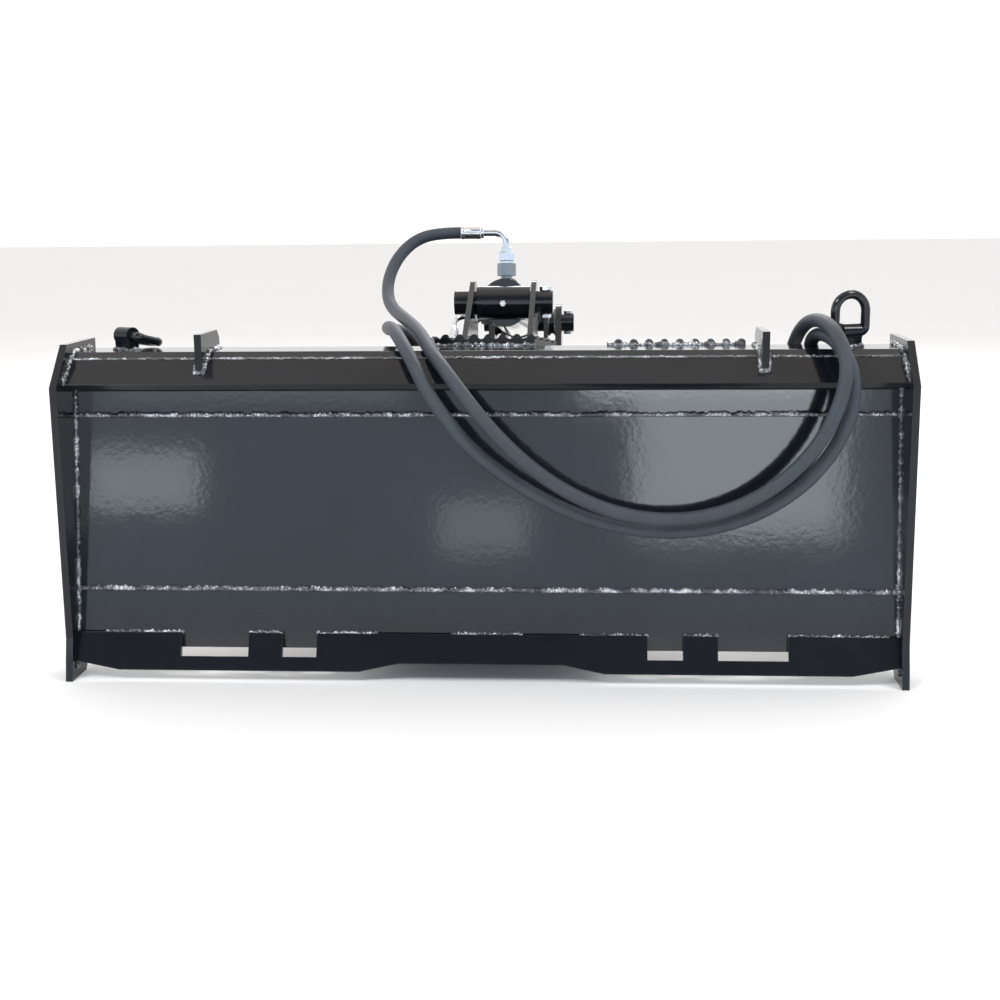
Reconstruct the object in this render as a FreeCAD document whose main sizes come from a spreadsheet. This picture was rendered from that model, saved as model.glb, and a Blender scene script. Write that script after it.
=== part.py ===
"""Grapple bucket on a skid steer quick-attach plate, in millimetres.

X runs across the machine (right positive), Y runs forward from the quick-attach plate to the
bucket's teeth, Z is up. The ground is Z = 0, where the end plates' tips and the cutting edge rest.
Each sub-part is one object of the document, and each is written to parts/NODE.step.
"""

import FreeCAD, Part
import math
import os

import Sketcher
from FreeCAD import Placement, Rotation, Vector

doc = FreeCAD.newDocument("GrappleBucket")

# ------------------------------------------------------------------ driving dimensions

DIMENSIONS = {
    # quick-attach plate
    "half_width": 586, "end_thick": 10, "plate": 8, "bar_thick": 10,
    "panel_low_y": 24, "panel_low_z": 42, "panel_high_y": 80, "panel_high_z": 448,
    "low_seam_z": 125, "high_seam_z": 368,
    "lip_y": 22, "lip_z": 416, "lip_weld_y": 62, "lip_weld_z": 447, "lip_thick": 10,
    "top_y": 78, "top_z": 456, "top_front_y": 150,
    "end_corner_y": 53, "end_top_z": 469, "end_front_y": 171, "end_rear_top_z": 414,
    "flange_high": 53.5, "flange_tilt": 21, "flange_foot_y": 7.5, "flange_foot_z": 12,
    "flange_relief": 12, "relief_inner": 115, "relief_outer": 172, "flange_flat": 512,
    "notch_floor": 20, "long_notch_in": 328.5, "long_notch_out": 424.9,
    "short_notch_in": 231.5, "short_notch_out": 280.3,
    "fin_in": 382.6, "fin_rear_y": 40, "fin_front_y": 140, "fin_top_z": 483,
    "outer_bar_y": 78, "outer_bar_deep": 45, "outer_bar_low": 30, "outer_bar_high": 444,
    # weld-on rings
    "ring_at": 510, "ring_y": 114, "ring_wide": 45.3, "ring_reach": 51.6, "ring_rod": 12.7,
    "ring_corner": 8, "clip_long": 27, "clip_outer": 25, "clip_bore": 13.4, "clip_height": 20,
    "clip_foot": 20, "left_ring_turn": -32, "right_ring_turn": 17, "left_ring_drop": 14.5,
    # bucket
    "bucket_half": 175, "side_thick": 10, "floor_thick": 8,
    "floor_rear_y": 33.7, "floor_rear_z": 54, "floor_front_y": 1150, "floor_front_z": 10,
    "edge_front_y": 1215, "edge_thick": 22, "tooth_long": 125, "tooth_wide": 38, "tooth_pitch": 97,
    "skid_wide": 40, "skid_rear_y": 620, "tooth_step": 22, "notch_deep": 7,
    "cheek_y": 150, "cheek_out": 371, "cheek_low_z": 150, "cheek_thick": 10,
    "right_cheek_top": 461, "left_cheek_top": 455,
    "deck_half": 105, "deck_front_y": 430, "deck_drop": 20, "deck_thick": 10,
    "guard_half": 72, "guard_top_z": 469, "guard_thick": 6, "guard_wing": 88, "guard_turn": 71,
    # cylinder and its bracket
    "ram_x": 14, "base_y": 380, "base_z": 504, "ear_in": 44, "ear_thick": 8, "ear_round": 34,
    "pin_r": 19, "base_pin_half": 77.5, "tube_r": 26, "tube_half": 42, "pin_gap": 0.06,
    "barrel_r": 38, "bore_r": 32, "rod_r": 19, "barrel_start": 30, "barrel_end": 425,
    "gland_end": 445, "gland_r": 40, "base_port_at": 70, "rod_port_at": 398, "port_r": 11,
    "piston_at": 215, "piston_thick": 36, "eye_r": 42, "eye_bore": 28.2, "eye_half": 25,
    "hose_r": 9.5, "ferrule_r": 10.8, "ferrule_long": 37, "stem_r": 6,
    # grapple arm
    "arm_x": 18, "pivot_y": 950, "pivot_z": 262, "rod_y": 1020, "rod_z": 425, "rod_pin_r": 18,
    "arm_half": 66, "arm_thick": 12, "clevis_half": 41, "clevis_thick": 8, "lever_boss_r": 23,
    "rod_pin_half": 96, "hub_r": 42, "hub_half": 163, "pivot_pin_r": 19, "bush_r": 24,
    "boss_r": 46, "boss_thick": 14,
}

sheet = doc.addObject("Spreadsheet::Sheet", "Dims")
for row, (alias, number) in enumerate(DIMENSIONS.items(), start=1):
    sheet.set(f"A{row}", alias)
    sheet.set(f"B{row}", str(number))
    sheet.setAlias(f"B{row}", alias)
doc.recompute()

d = type("Sizes", (), {alias: float(sheet.get(alias)) for alias in DIMENSIONS})

nodes = []


def keep(thing, label):
    """Names a finished sub-part and puts it on the list of nodes."""
    thing.Label = label
    nodes.append(thing)
    return thing


# ------------------------------------------------------------------ ways to make a piece


def origin_plane(body, role):
    """One of the body's own origin planes, by its role."""
    return next(f for f in body.Origin.OriginFeatures if f.Role == role)


def new_sketch(body, role, name):
    sketch = body.newObject("Sketcher::SketchObject", name)
    sketch.AttachmentSupport = (origin_plane(body, role), [""])
    sketch.MapMode = "FlatFace"
    return sketch


def bound(text):
    """The present value of an expression on the sheet."""
    return float(sheet.evalExpression(text))


def draw_outline(sketch, corners):
    """A closed outline whose corners are held to the sheet's cells by constraints."""
    points = [Vector(bound(across), bound(up), 0) for across, up in corners]
    count = len(points)
    first = sketch.GeometryCount
    for i, point in enumerate(points):
        sketch.addGeometry(Part.LineSegment(point, points[(i + 1) % count]), False)
    for i in range(count):
        following = first + (i + 1) % count
        sketch.addConstraint(Sketcher.Constraint("Coincident", first + i, 2, following, 1))
    for i, (corner, point) in enumerate(zip(corners, points)):
        for kind, text, number in (("DistanceX", corner[0], point.x), ("DistanceY", corner[1], point.y)):
            at = sketch.addConstraint(Sketcher.Constraint(kind, -1, 1, first + i, 1, number))
            sketch.setExpression(f"Constraints[{at}]", text)


def draw_curve(sketch, curve):
    """A closed run of lines and arcs, as they are."""
    sketch.addGeometry(curve, False)


def padded_body(label, role, length, corners=None, curve=None, holes=(), place=None):
    """A plate: its outline on an origin plane, padded by an expression's length."""
    body = doc.addObject("PartDesign::Body", label)
    sketch = new_sketch(body, role, label + "_outline")
    if corners:
        draw_outline(sketch, corners)
    if curve:
        draw_curve(sketch, curve)
    for across, up, radius in holes:
        sketch.addGeometry(Part.Circle(Vector(across, up, 0), Vector(0, 0, 1), radius), False)
    pad = body.newObject("PartDesign::Pad", label + "_pad")
    pad.Profile = sketch
    pad.setExpression("Length", length)
    if place:
        for axis, text in zip("xyz", place):
            if text:
                body.setExpression(f".Placement.Base.{axis}", text)
    return body


def tube_shape(label, radius, length, bore=None):
    """A round bar or tube along its own Z, its sizes held to the sheet."""
    outer = doc.addObject("Part::Cylinder", label + "_outer")
    outer.setExpression("Radius", radius)
    outer.setExpression("Height", length)
    if bore is None:
        return outer
    inner = doc.addObject("Part::Cylinder", label + "_bore")
    inner.setExpression("Radius", bore)
    inner.setExpression("Height", f"({length}) * 3")
    inner.setExpression(".Placement.Base.z", f"-({length})")
    cut = doc.addObject("Part::Cut", label + "_tube")
    cut.Base = outer
    cut.Tool = inner
    return cut


def fused(label, pieces):
    """Several overlapping primitives as one piece."""
    union = doc.addObject("Part::MultiFuse", label)
    union.Shapes = pieces
    union.Refine = True
    return union


def gathered(label, pieces):
    """Separate solids that share one node, such as like fasteners."""
    group = doc.addObject("Part::Compound", label)
    group.Links = pieces
    return group


def along_x(thing, x, y, z):
    """Turns a piece made along its own Z to lie along X, from the point given."""
    thing.Placement = Placement(Vector(x, y, z), Rotation(Vector(0, 1, 0), 90))
    return thing


def scallops(start, end, pitch, depth):
    """Arcs from start to end that rise and fall: a serrated edge with rounded points."""
    run = end - start
    count = max(2, 2 * round(run.Length / pitch))
    step = run * (1 / count)
    side = Vector(-run.y, run.x, 0).normalize() * (depth / 2)
    arcs = []
    for i in range(count):
        low = start + step * i
        high = start + step * (i + 1)
        way = side if i % 2 else side * -1
        arcs.append(Part.Arc(low, (low + high) * 0.5 + way, high))
    return arcs


def closed_run(corners, serrated, pitch, depth):
    """Lines from corner to corner, with scallops on the sides whose numbers are in serrated."""
    edges = []
    points = [Vector(across, up, 0) for across, up in corners]
    for i, point in enumerate(points):
        following = points[(i + 1) % len(points)]
        if i in serrated:
            edges += scallops(point, following, pitch, depth)
        else:
            edges.append(Part.LineSegment(point, following))
    return edges


def swept(label, wire, radius):
    """A round section carried along a wire of lines and arcs."""
    start = wire.Edges[0]
    point = start.valueAt(start.FirstParameter)
    way = start.tangentAt(start.FirstParameter)
    section = Part.Wire([Part.makeCircle(radius, point, way)])
    piece = doc.addObject("Part::Feature", label)
    piece.Shape = Part.Solid(wire.makePipeShell([section], True, True).Shells[0])
    return piece


# ------------------------------------------------------------------ quick-attach plate


def panel_y(z_text):
    """The panel's rear face leans forward: its Y at a height."""
    rise = "(Dims.panel_high_y - Dims.panel_low_y) / (Dims.panel_high_z - Dims.panel_low_z)"
    return f"Dims.panel_low_y + ({z_text} - Dims.panel_low_z) * {rise}"


def across_body(label, corners):
    """A profile in the YZ plane, as long as the inside of the end plates."""
    inside = "2 * (Dims.half_width - Dims.end_thick)"
    place = ("Dims.end_thick - Dims.half_width", None, None)
    return keep(padded_body(label, "YZ_Plane", inside, corners, place=place), label)


def make_panels():
    """Three strips that are seamed edge to edge, each a slice of the leaning panel."""
    strips = (
        ("panel_lower_strip", "Dims.panel_low_z", "Dims.low_seam_z"),
        ("panel_main", "Dims.low_seam_z", "Dims.high_seam_z"),
        ("panel_upper_strip", "Dims.high_seam_z", "Dims.panel_high_z"),
    )
    for label, low, high in strips:
        corners = [
            (panel_y(low), low),
            (panel_y(low) + " + Dims.plate", low),
            (panel_y(high) + " + Dims.plate", high),
            (panel_y(high), high),
        ]
        across_body(label, corners)


def make_lip_and_top():
    """The hook lip under which the machine's carriage catches, and the bent top plate."""
    slope = math.atan2(d.lip_weld_z - d.lip_z, d.lip_weld_y - d.lip_y)
    under_y = f"{math.sin(slope):.6f} * Dims.lip_thick"
    under_z = f"{math.cos(slope):.6f} * Dims.lip_thick"
    lip = [
        ("Dims.lip_y", "Dims.lip_z"),
        (f"Dims.lip_y + {under_y}", f"Dims.lip_z - {under_z}"),
        (f"Dims.lip_weld_y + {under_y}", f"Dims.lip_weld_z - {under_z}"),
        ("Dims.lip_weld_y", "Dims.lip_weld_z"),
    ]
    across_body("top_lip", lip)
    top = [
        ("Dims.lip_weld_y", "Dims.lip_weld_z"),
        (f"Dims.lip_weld_y + {under_y}", f"Dims.lip_weld_z - {under_z}"),
        ("Dims.panel_high_y", "Dims.top_z - Dims.plate"),
        ("Dims.top_front_y", "Dims.top_z - Dims.plate"),
        ("Dims.top_front_y", "Dims.top_z"),
        ("Dims.top_y", "Dims.top_z"),
    ]
    across_body("top_plate", top)


def make_flange():
    """The leaning foot with four notches for the machine's locking wedges."""
    edge = "Dims.half_width - Dims.end_thick"
    right = [
        ("0", "Dims.flange_relief"),
        ("Dims.relief_inner", "Dims.flange_relief"),
        ("Dims.relief_outer", "0"),
        ("Dims.flange_flat", "0"),
        (edge, "Dims.flange_relief"),
        (edge, "Dims.flange_high"),
    ]
    for outer, inner in (("long_notch_out", "long_notch_in"), ("short_notch_out", "short_notch_in")):
        right += [
            (f"Dims.{outer}", "Dims.flange_high"),
            (f"Dims.{outer}", "Dims.notch_floor"),
            (f"Dims.{inner}", "Dims.notch_floor"),
            (f"Dims.{inner}", "Dims.flange_high"),
        ]
    left = [(f"-({across})", up) for across, up in reversed(right[1:])]
    body = padded_body("bottom_flange", "XZ_Plane", "Dims.plate", right[1:] + left)
    body.Placement = Placement(
        Vector(0, d.flange_foot_y, d.flange_foot_z), Rotation(Vector(1, 0, 0), -d.flange_tilt)
    )
    keep(body, "bottom_flange")


def make_end_plates():
    corners = [
        ("-12", "0"),
        ("-6", "32"),
        ("0", "60"),
        ("0", "Dims.end_rear_top_z"),
        ("Dims.end_corner_y", "Dims.end_top_z"),
        ("Dims.end_front_y", "Dims.end_top_z"),
        ("Dims.end_front_y", "330"),
        ("105", "60"),
        ("45", "0"),
    ]
    sides = (
        ("left", "-Dims.half_width", "-Dims.half_width - Dims.bar_thick"),
        ("right", "Dims.half_width - Dims.end_thick", "Dims.half_width"),
    )
    bar = [
        ("Dims.outer_bar_y", "Dims.outer_bar_low"),
        ("Dims.outer_bar_y + Dims.outer_bar_deep", "Dims.outer_bar_low + 70"),
        ("Dims.outer_bar_y + Dims.outer_bar_deep", "Dims.outer_bar_high"),
        ("Dims.outer_bar_y", "Dims.outer_bar_high"),
    ]
    bars = []
    for side, plate_x, bar_x in sides:
        label = "end_plate_" + side
        place = (plate_x, None, None)
        keep(padded_body(label, "YZ_Plane", "Dims.end_thick", corners, place=place), label)
        place = (bar_x, None, None)
        bars.append(padded_body("outer_bar_" + side, "YZ_Plane", "Dims.bar_thick", bar, place=place))
    keep(gathered("outer_bars", bars), "outer_bars")


def make_fins():
    slope = "(Dims.lip_weld_z - Dims.lip_z) / (Dims.lip_weld_y - Dims.lip_y)"
    corners = [
        ("Dims.fin_rear_y", f"Dims.lip_z + (Dims.fin_rear_y - Dims.lip_y) * {slope}"),
        ("Dims.lip_weld_y", "Dims.lip_weld_z"),
        ("Dims.top_y", "Dims.top_z"),
        ("Dims.fin_front_y", "Dims.top_z"),
        ("Dims.fin_front_y", "Dims.fin_top_z - 12"),
        ("Dims.fin_front_y - 12", "Dims.fin_top_z"),
        ("Dims.fin_rear_y", "Dims.fin_top_z"),
    ]
    for side, place_x in (("left", "-Dims.fin_in - Dims.bar_thick"), ("right", "Dims.fin_in")):
        label = "fin_" + side
        place = (place_x, None, None)
        keep(padded_body(label, "YZ_Plane", "Dims.bar_thick", corners, place=place), label)


# ------------------------------------------------------------------ weld-on rings


def ring_wire():
    """The ring's centre line: a bar along X, two legs and a half-round top, corners rounded."""
    half = d.ring_wide / 2
    corner = d.ring_corner
    shoulder = d.ring_reach - half
    bend = corner * (1 - math.sqrt(0.5))
    bar_left, bar_right = Vector(corner - half, 0, 0), Vector(half - corner, 0, 0)
    leg_right, leg_left = Vector(half, 0, corner), Vector(-half, 0, corner)
    top_right, top_left = Vector(half, 0, shoulder), Vector(-half, 0, shoulder)
    edges = [
        Part.LineSegment(bar_left, bar_right),
        Part.Arc(bar_right, Vector(half - bend, 0, bend), leg_right),
        Part.LineSegment(leg_right, top_right),
        Part.Arc(top_right, Vector(0, 0, d.ring_reach), top_left),
        Part.LineSegment(top_left, leg_left),
        Part.Arc(leg_left, Vector(bend - half, 0, bend), bar_left),
    ]
    return Part.Wire([edge.toShape() for edge in edges])


def make_ring(side, at_x, turn, lean):
    """A saddle clip on the top plate, and the ring that swings in it."""
    axis_z = d.top_z + d.clip_height
    spin = Rotation(Vector(0, 0, 1), turn)
    half = d.clip_long / 2
    barrel = doc.addObject("Part::Cylinder", f"clip_barrel_{side}")
    barrel.setExpression("Radius", "Dims.clip_outer / 2")
    barrel.setExpression("Height", "Dims.clip_long")
    barrel.Placement = Placement(Vector(-half, 0, d.clip_height), Rotation(Vector(0, 1, 0), 90))
    foot = doc.addObject("Part::Box", f"clip_foot_{side}")
    foot.setExpression("Length", "Dims.clip_long")
    foot.setExpression("Width", "Dims.clip_foot")
    foot.setExpression("Height", "Dims.clip_height")
    foot.Placement.Base = Vector(-half, -d.clip_foot / 2, 0)
    block = fused(f"clip_block_{side}", [barrel, foot])
    hole = doc.addObject("Part::Cylinder", f"clip_hole_{side}")
    hole.setExpression("Radius", "Dims.clip_bore / 2")
    hole.Height = 2 * d.clip_long
    hole.Placement = Placement(Vector(-d.clip_long, 0, d.clip_height), Rotation(Vector(0, 1, 0), 90))
    clip = doc.addObject("Part::Cut", f"ring_clip_{side}")
    clip.Base = block
    clip.Tool = hole
    clip.Placement = Placement(Vector(at_x, d.ring_y, d.top_z), spin)
    keep(clip, f"ring_clip_{side}")
    ring = swept(f"lift_ring_{side}", ring_wire(), d.ring_rod / 2)
    swing = Rotation(Vector(1, 0, 0), lean)
    ring.Placement = Placement(Vector(at_x, d.ring_y, axis_z), spin.multiply(swing))
    keep(ring, f"lift_ring_{side}")


def make_rings():
    """The left ring lies forward on the plate, and the right one stands."""
    make_ring("left", -d.ring_at, d.left_ring_turn, -90 - d.left_ring_drop)
    make_ring("right", d.ring_at, d.right_ring_turn, 0)


# ------------------------------------------------------------------ bucket


def make_floor():
    inside = "2 * (Dims.bucket_half - Dims.side_thick)"
    place = ("Dims.side_thick - Dims.bucket_half", None, None)
    corners = [
        ("Dims.floor_rear_y", "Dims.floor_rear_z"),
        ("Dims.floor_front_y", "Dims.floor_front_z"),
        ("Dims.floor_front_y", "Dims.floor_front_z + Dims.floor_thick"),
        ("Dims.floor_rear_y + 1.1", "Dims.floor_rear_z + Dims.floor_thick"),
    ]
    keep(padded_body("bucket_floor", "YZ_Plane", inside, corners, place=place), "bucket_floor")
    whole = "2 * Dims.bucket_half"
    place = ("-Dims.bucket_half", None, None)
    edge = [
        ("Dims.floor_front_y", "0"),
        ("Dims.edge_front_y - 12", "0"),
        ("Dims.edge_front_y", "5"),
        ("Dims.floor_front_y + 20", "Dims.edge_thick"),
        ("Dims.floor_front_y", "Dims.edge_thick"),
    ]
    keep(padded_body("cutting_edge", "YZ_Plane", whole, edge, place=place), "cutting_edge")


def make_skids():
    """Two wear strips under the floor, flat on the ground at the front."""
    fall = "(Dims.floor_rear_z - Dims.floor_front_z) / (Dims.floor_front_y - Dims.floor_rear_y)"
    under_rear = f"Dims.floor_rear_z - (Dims.skid_rear_y - Dims.floor_rear_y) * {fall}"
    corners = [
        ("Dims.skid_rear_y", under_rear),
        ("Dims.skid_rear_y + 30", f"{under_rear} - 12"),
        ("Dims.floor_front_y - 60", "0"),
        ("Dims.floor_front_y", "0"),
        ("Dims.floor_front_y", "Dims.floor_front_z"),
    ]
    skids = []
    for side, place_x in (("left", "-120 - Dims.skid_wide"), ("right", "120")):
        place = (place_x, None, None)
        skids.append(padded_body("skid_" + side, "YZ_Plane", "Dims.skid_wide", corners, place=place))
    keep(gathered("floor_skids", skids), "floor_skids")


def make_teeth():
    """Four digging teeth, each a tapered point on the cutting edge's bevel."""
    corners = [
        ("Dims.edge_front_y + Dims.tooth_long", "4"),
        ("Dims.edge_front_y + Dims.tooth_long", "12"),
        ("Dims.edge_front_y - 30", "Dims.edge_thick + 22"),
        ("Dims.floor_front_y + 4", "Dims.edge_thick + 22"),
        ("Dims.floor_front_y + 4", "Dims.edge_thick"),
        ("Dims.floor_front_y + 20", "Dims.edge_thick"),
        ("Dims.edge_front_y", "5"),
    ]
    teeth = []
    for number in range(4):
        middle = f"({number} - 1.5) * Dims.tooth_pitch - Dims.tooth_wide / 2"
        tooth = padded_body(
            f"tooth_{number + 1}", "YZ_Plane", "Dims.tooth_wide", corners, place=(middle, None, None)
        )
        teeth.append(tooth)
    keep(gathered("bucket_teeth", teeth), "bucket_teeth")


def make_sides():
    """The bucket's cheeks: serrated along the top and down the nose, with a hole at the pivot."""
    corners = [
        (d.floor_rear_y, d.floor_rear_z),
        (d.floor_front_y, d.floor_front_z),
        (d.floor_front_y, d.edge_thick),
        (d.edge_front_y - 25, d.edge_thick),
        (d.edge_front_y - 8, 75),
        (1045, 318),
        (895, 335),
        (500, 412),
        (d.top_front_y, 432),
        (d.top_front_y, d.top_z - d.plate),
        (d.panel_high_y + d.plate, d.top_z - d.plate),
    ]
    serrated = {4, 6}
    curve = closed_run(corners, serrated, d.tooth_step, d.notch_deep)
    hole = (d.pivot_y, d.pivot_z, d.pivot_pin_r + d.pin_gap)
    for side, place_x in (("left", "-Dims.bucket_half"), ("right", "Dims.bucket_half - Dims.side_thick")):
        label = "bucket_side_" + side
        place = (place_x, None, None)
        body = padded_body(
            label, "YZ_Plane", "Dims.side_thick", curve=curve, holes=[hole], place=place
        )
        keep(body, label)


def make_cheeks():
    """Upright plates across the front of the panel, from the bucket out; the right one's top is serrated."""
    for side, sign, top in (("left", -1, d.left_cheek_top), ("right", 1, d.right_cheek_top)):
        inner = d.bucket_half
        corners = [
            (sign * inner, d.cheek_low_z),
            (sign * (inner + 40), d.cheek_low_z),
            (sign * d.cheek_out, top - 90),
            (sign * d.cheek_out, top),
            (sign * inner, top),
        ]
        curve = closed_run(corners, {3} if side == "right" else set(), d.tooth_step, d.notch_deep)
        label = "cheek_" + side
        body = padded_body(label, "XZ_Plane", "Dims.cheek_thick", curve=curve)
        body.setExpression(".Placement.Base.y", "Dims.cheek_y + Dims.cheek_thick")
        keep(body, label)


def make_deck():
    """The bridge that carries the cylinder's ears, from the top plate over the bucket's mouth."""
    rear = "Dims.cheek_y + Dims.guard_thick"
    corners = [
        (rear, "Dims.top_z - 10 - Dims.deck_thick"),
        ("Dims.deck_front_y", "Dims.top_z - 10 - Dims.deck_thick - Dims.deck_drop"),
        ("Dims.deck_front_y", "Dims.top_z - 10 - Dims.deck_drop"),
        (rear, "Dims.top_z - 10"),
    ]
    width = "2 * Dims.deck_half"
    place = ("-Dims.deck_half", None, None)
    keep(padded_body("bracket_deck", "YZ_Plane", width, corners, place=place), "bracket_deck")


def make_deck_ribs():
    """Two upright ribs that carry the deck and the top plate off the panel's front face."""
    under = "Dims.top_z - 10 - Dims.deck_thick"
    rear = "Dims.cheek_y + Dims.guard_thick"
    corners = [
        (panel_y("240") + " + Dims.plate", "240"),
        ("Dims.deck_front_y", f"{under} - Dims.deck_drop - 60"),
        ("Dims.deck_front_y", f"{under} - Dims.deck_drop"),
        (rear, under),
        ("Dims.top_front_y", under),
        ("Dims.top_front_y", "Dims.top_z - Dims.plate"),
        ("Dims.panel_high_y + Dims.plate", "Dims.top_z - Dims.plate"),
    ]
    ribs = []
    for side, place_x in (("left", "-Dims.deck_half + 20"), ("right", "Dims.deck_half - 20 - Dims.bar_thick")):
        place = (place_x, None, None)
        ribs.append(padded_body("rib_" + side, "YZ_Plane", "Dims.bar_thick", corners, place=place))
    keep(gathered("deck_ribs", ribs), "deck_ribs")


def make_guard():
    """A serrated strip behind the ears, with both ends turned forward."""
    half = d.guard_half
    front = d.cheek_y + d.guard_thick
    low = d.top_z - 16
    corners = [(-half, low), (half, low), (half, d.guard_top_z), (-half, d.guard_top_z)]
    curve = closed_run(corners, {2}, d.tooth_step, d.notch_deep)
    middle = padded_body("guard_middle", "XZ_Plane", "Dims.guard_thick", curve=curve)
    middle.setExpression(".Placement.Base.y", "Dims.cheek_y + Dims.guard_thick")
    fall = math.tan(math.radians(10.6)) * d.guard_wing
    corners = [
        (-3, d.top_z - 9),
        (d.guard_wing, d.top_z - 15),
        (d.guard_wing, d.guard_top_z - fall),
        (-3, d.guard_top_z - 1),
    ]
    pieces = [middle]
    thick = d.guard_thick
    turns = (
        ("right", Vector(half - thick, front, 0), d.guard_turn),
        ("left", Vector(-half, front - 2, 0), 180 - d.guard_turn),
    )
    for side, base, turn in turns:
        curve = closed_run(corners, {2}, d.tooth_step, d.notch_deep)
        wing = padded_body("guard_wing_" + side, "XZ_Plane", "Dims.guard_thick", curve=curve)
        wing.Placement = Placement(base, Rotation(Vector(0, 0, 1), turn))
        pieces.append(wing)
    keep(fused("serrated_guard", pieces), "serrated_guard")


# ------------------------------------------------------------------ cylinder bracket


def tangent_from(point, centre, radius, side):
    """Where a line from the point touches the circle, on the side given by +1 or -1."""
    reach = centre - point
    spread = math.asin(radius / reach.Length)
    way = math.atan2(reach.y, reach.x) + side * spread
    run = math.sqrt(reach.Length ** 2 - radius ** 2)
    return point + Vector(math.cos(way), math.sin(way), 0) * run


def on_circle(centre, radius, degrees):
    turn = math.radians(degrees)
    return centre + Vector(math.cos(turn), math.sin(turn), 0) * radius


def arc_between(centre, radius, start, end, through):
    """An arc of the circle from start to end, through the angle given in degrees."""
    return Part.Arc(start, on_circle(centre, radius, through), end)


def make_ears():
    """Two ears on the deck that rake forward to the cylinder's base pin."""
    pin = Vector(d.base_y, d.base_z, 0)
    rear = Vector(170, deck_top(170), 0)
    front = Vector(d.base_y + d.ear_round, deck_top(d.base_y + d.ear_round), 0)
    shoulder = Vector(front.x, d.base_z, 0)
    touch = tangent_from(rear, pin, d.ear_round, 1)
    curve = [
        Part.LineSegment(rear, front),
        Part.LineSegment(front, shoulder),
        arc_between(pin, d.ear_round, shoulder, touch, 60),
        Part.LineSegment(touch, rear),
    ]
    hole = (d.base_y, d.base_z, d.pin_r + d.pin_gap)
    places = (
        ("left", "Dims.ram_x - Dims.ear_in - Dims.ear_thick"),
        ("right", "Dims.ram_x + Dims.ear_in"),
    )
    for side, place_x in places:
        label = "base_ear_" + side
        place = (place_x, None, None)
        body = padded_body(label, "YZ_Plane", "Dims.ear_thick", curve=curve, holes=[hole], place=place)
        keep(body, label)


def deck_top(y):
    """Height of the deck's top face."""
    rear_y = d.cheek_y + d.guard_thick
    return d.top_z - 10 - (y - rear_y) * d.deck_drop / (d.deck_front_y - rear_y)


def cross_bolt(label, x, y, z, reach, radius=5, head=9, high=5):
    """A bolt down through a pin's end: its head on top, its nut below."""
    shank = doc.addObject("Part::Cylinder", label + "_shank")
    shank.Radius = radius
    shank.Height = 2 * reach
    shank.Placement.Base = Vector(0, 0, -reach)
    top = doc.addObject("Part::Prism", label + "_head")
    top.Polygon = 6
    top.Circumradius = head
    top.Height = high
    top.Placement.Base = Vector(0, 0, reach)
    nut = doc.addObject("Part::Prism", label + "_nut")
    nut.Polygon = 6
    nut.Circumradius = head
    nut.Height = high
    nut.Placement.Base = Vector(0, 0, -reach - high)
    bolt = fused(label, [shank, top, nut])
    bolt.Placement = Placement(Vector(x, y, z), Rotation())
    return keep(bolt, label)


def drilled_pin(label, radius, length, start, y, z, bolt_x):
    """A pin along X with a cross hole for its keeper bolt."""
    rod = tube_shape(label + "_bar", radius, length)
    along_x(rod, start, y, z)
    drill = doc.addObject("Part::Cylinder", label + "_drill")
    drill.Radius = 5
    drill.Height = 80
    drill.Placement.Base = Vector(bolt_x, y, z - 40)
    pin = doc.addObject("Part::Cut", label)
    pin.Base = rod
    pin.Tool = drill
    return keep(pin, label)


def make_base_pin():
    start = d.ram_x - d.base_pin_half
    bolt_x = d.ram_x + d.base_pin_half - 12
    drilled_pin("base_pin", "Dims.pin_r", "2 * Dims.base_pin_half", start, d.base_y, d.base_z, bolt_x)
    cross_bolt("base_pin_bolt", bolt_x, d.base_y, d.base_z, d.pin_r)


# ------------------------------------------------------------------ cylinder


def ram_fall():
    """The cylinder's slope below level, in radians, from its base pin to its rod pin."""
    return math.atan2(d.base_z - d.rod_z, d.rod_y - d.base_y)


def ram_point(run, radius=0):
    """A point at a run along the cylinder's axis, lifted by a radius square to it."""
    fall = ram_fall()
    way = Vector(0, math.cos(fall), -math.sin(fall))
    lift = Vector(0, math.sin(fall), math.cos(fall))
    return Vector(d.ram_x, d.base_y, d.base_z) + way * run + lift * radius


def along_ram(thing, run):
    """Lays a piece made along its own Z on the cylinder's axis, from a run."""
    lean = -90 - math.degrees(ram_fall())
    thing.Placement = Placement(ram_point(run), Rotation(Vector(1, 0, 0), lean))
    return thing


def pin_to_pin():
    return math.hypot(d.rod_y - d.base_y, d.base_z - d.rod_z)


def saddle(label, piece, radius, y, z):
    """Cuts a piece's end to sit round a tube along X."""
    tool = doc.addObject("Part::Cylinder", label + "_saddle")
    tool.setExpression("Radius", radius)
    tool.Height = 200
    along_x(tool, d.ram_x - 100, y, z)
    cut = doc.addObject("Part::Cut", label)
    cut.Base = piece
    cut.Tool = tool
    return cut


def port_place(run, upward):
    """The placement of a port face: square to the barrel, on top or on its left side."""
    fall = math.degrees(ram_fall())
    if upward:
        return Placement(ram_point(run, d.barrel_r), Rotation(Vector(1, 0, 0), -fall))
    face = ram_point(run) - Vector(d.barrel_r, 0, 0)
    side = Rotation(Vector(0, 1, 0), -90)
    swing = Rotation(Vector(1, 0, 0), 35)
    return Placement(face, swing.multiply(side).multiply(Rotation(Vector(0, 0, 1), 90)))


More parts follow.
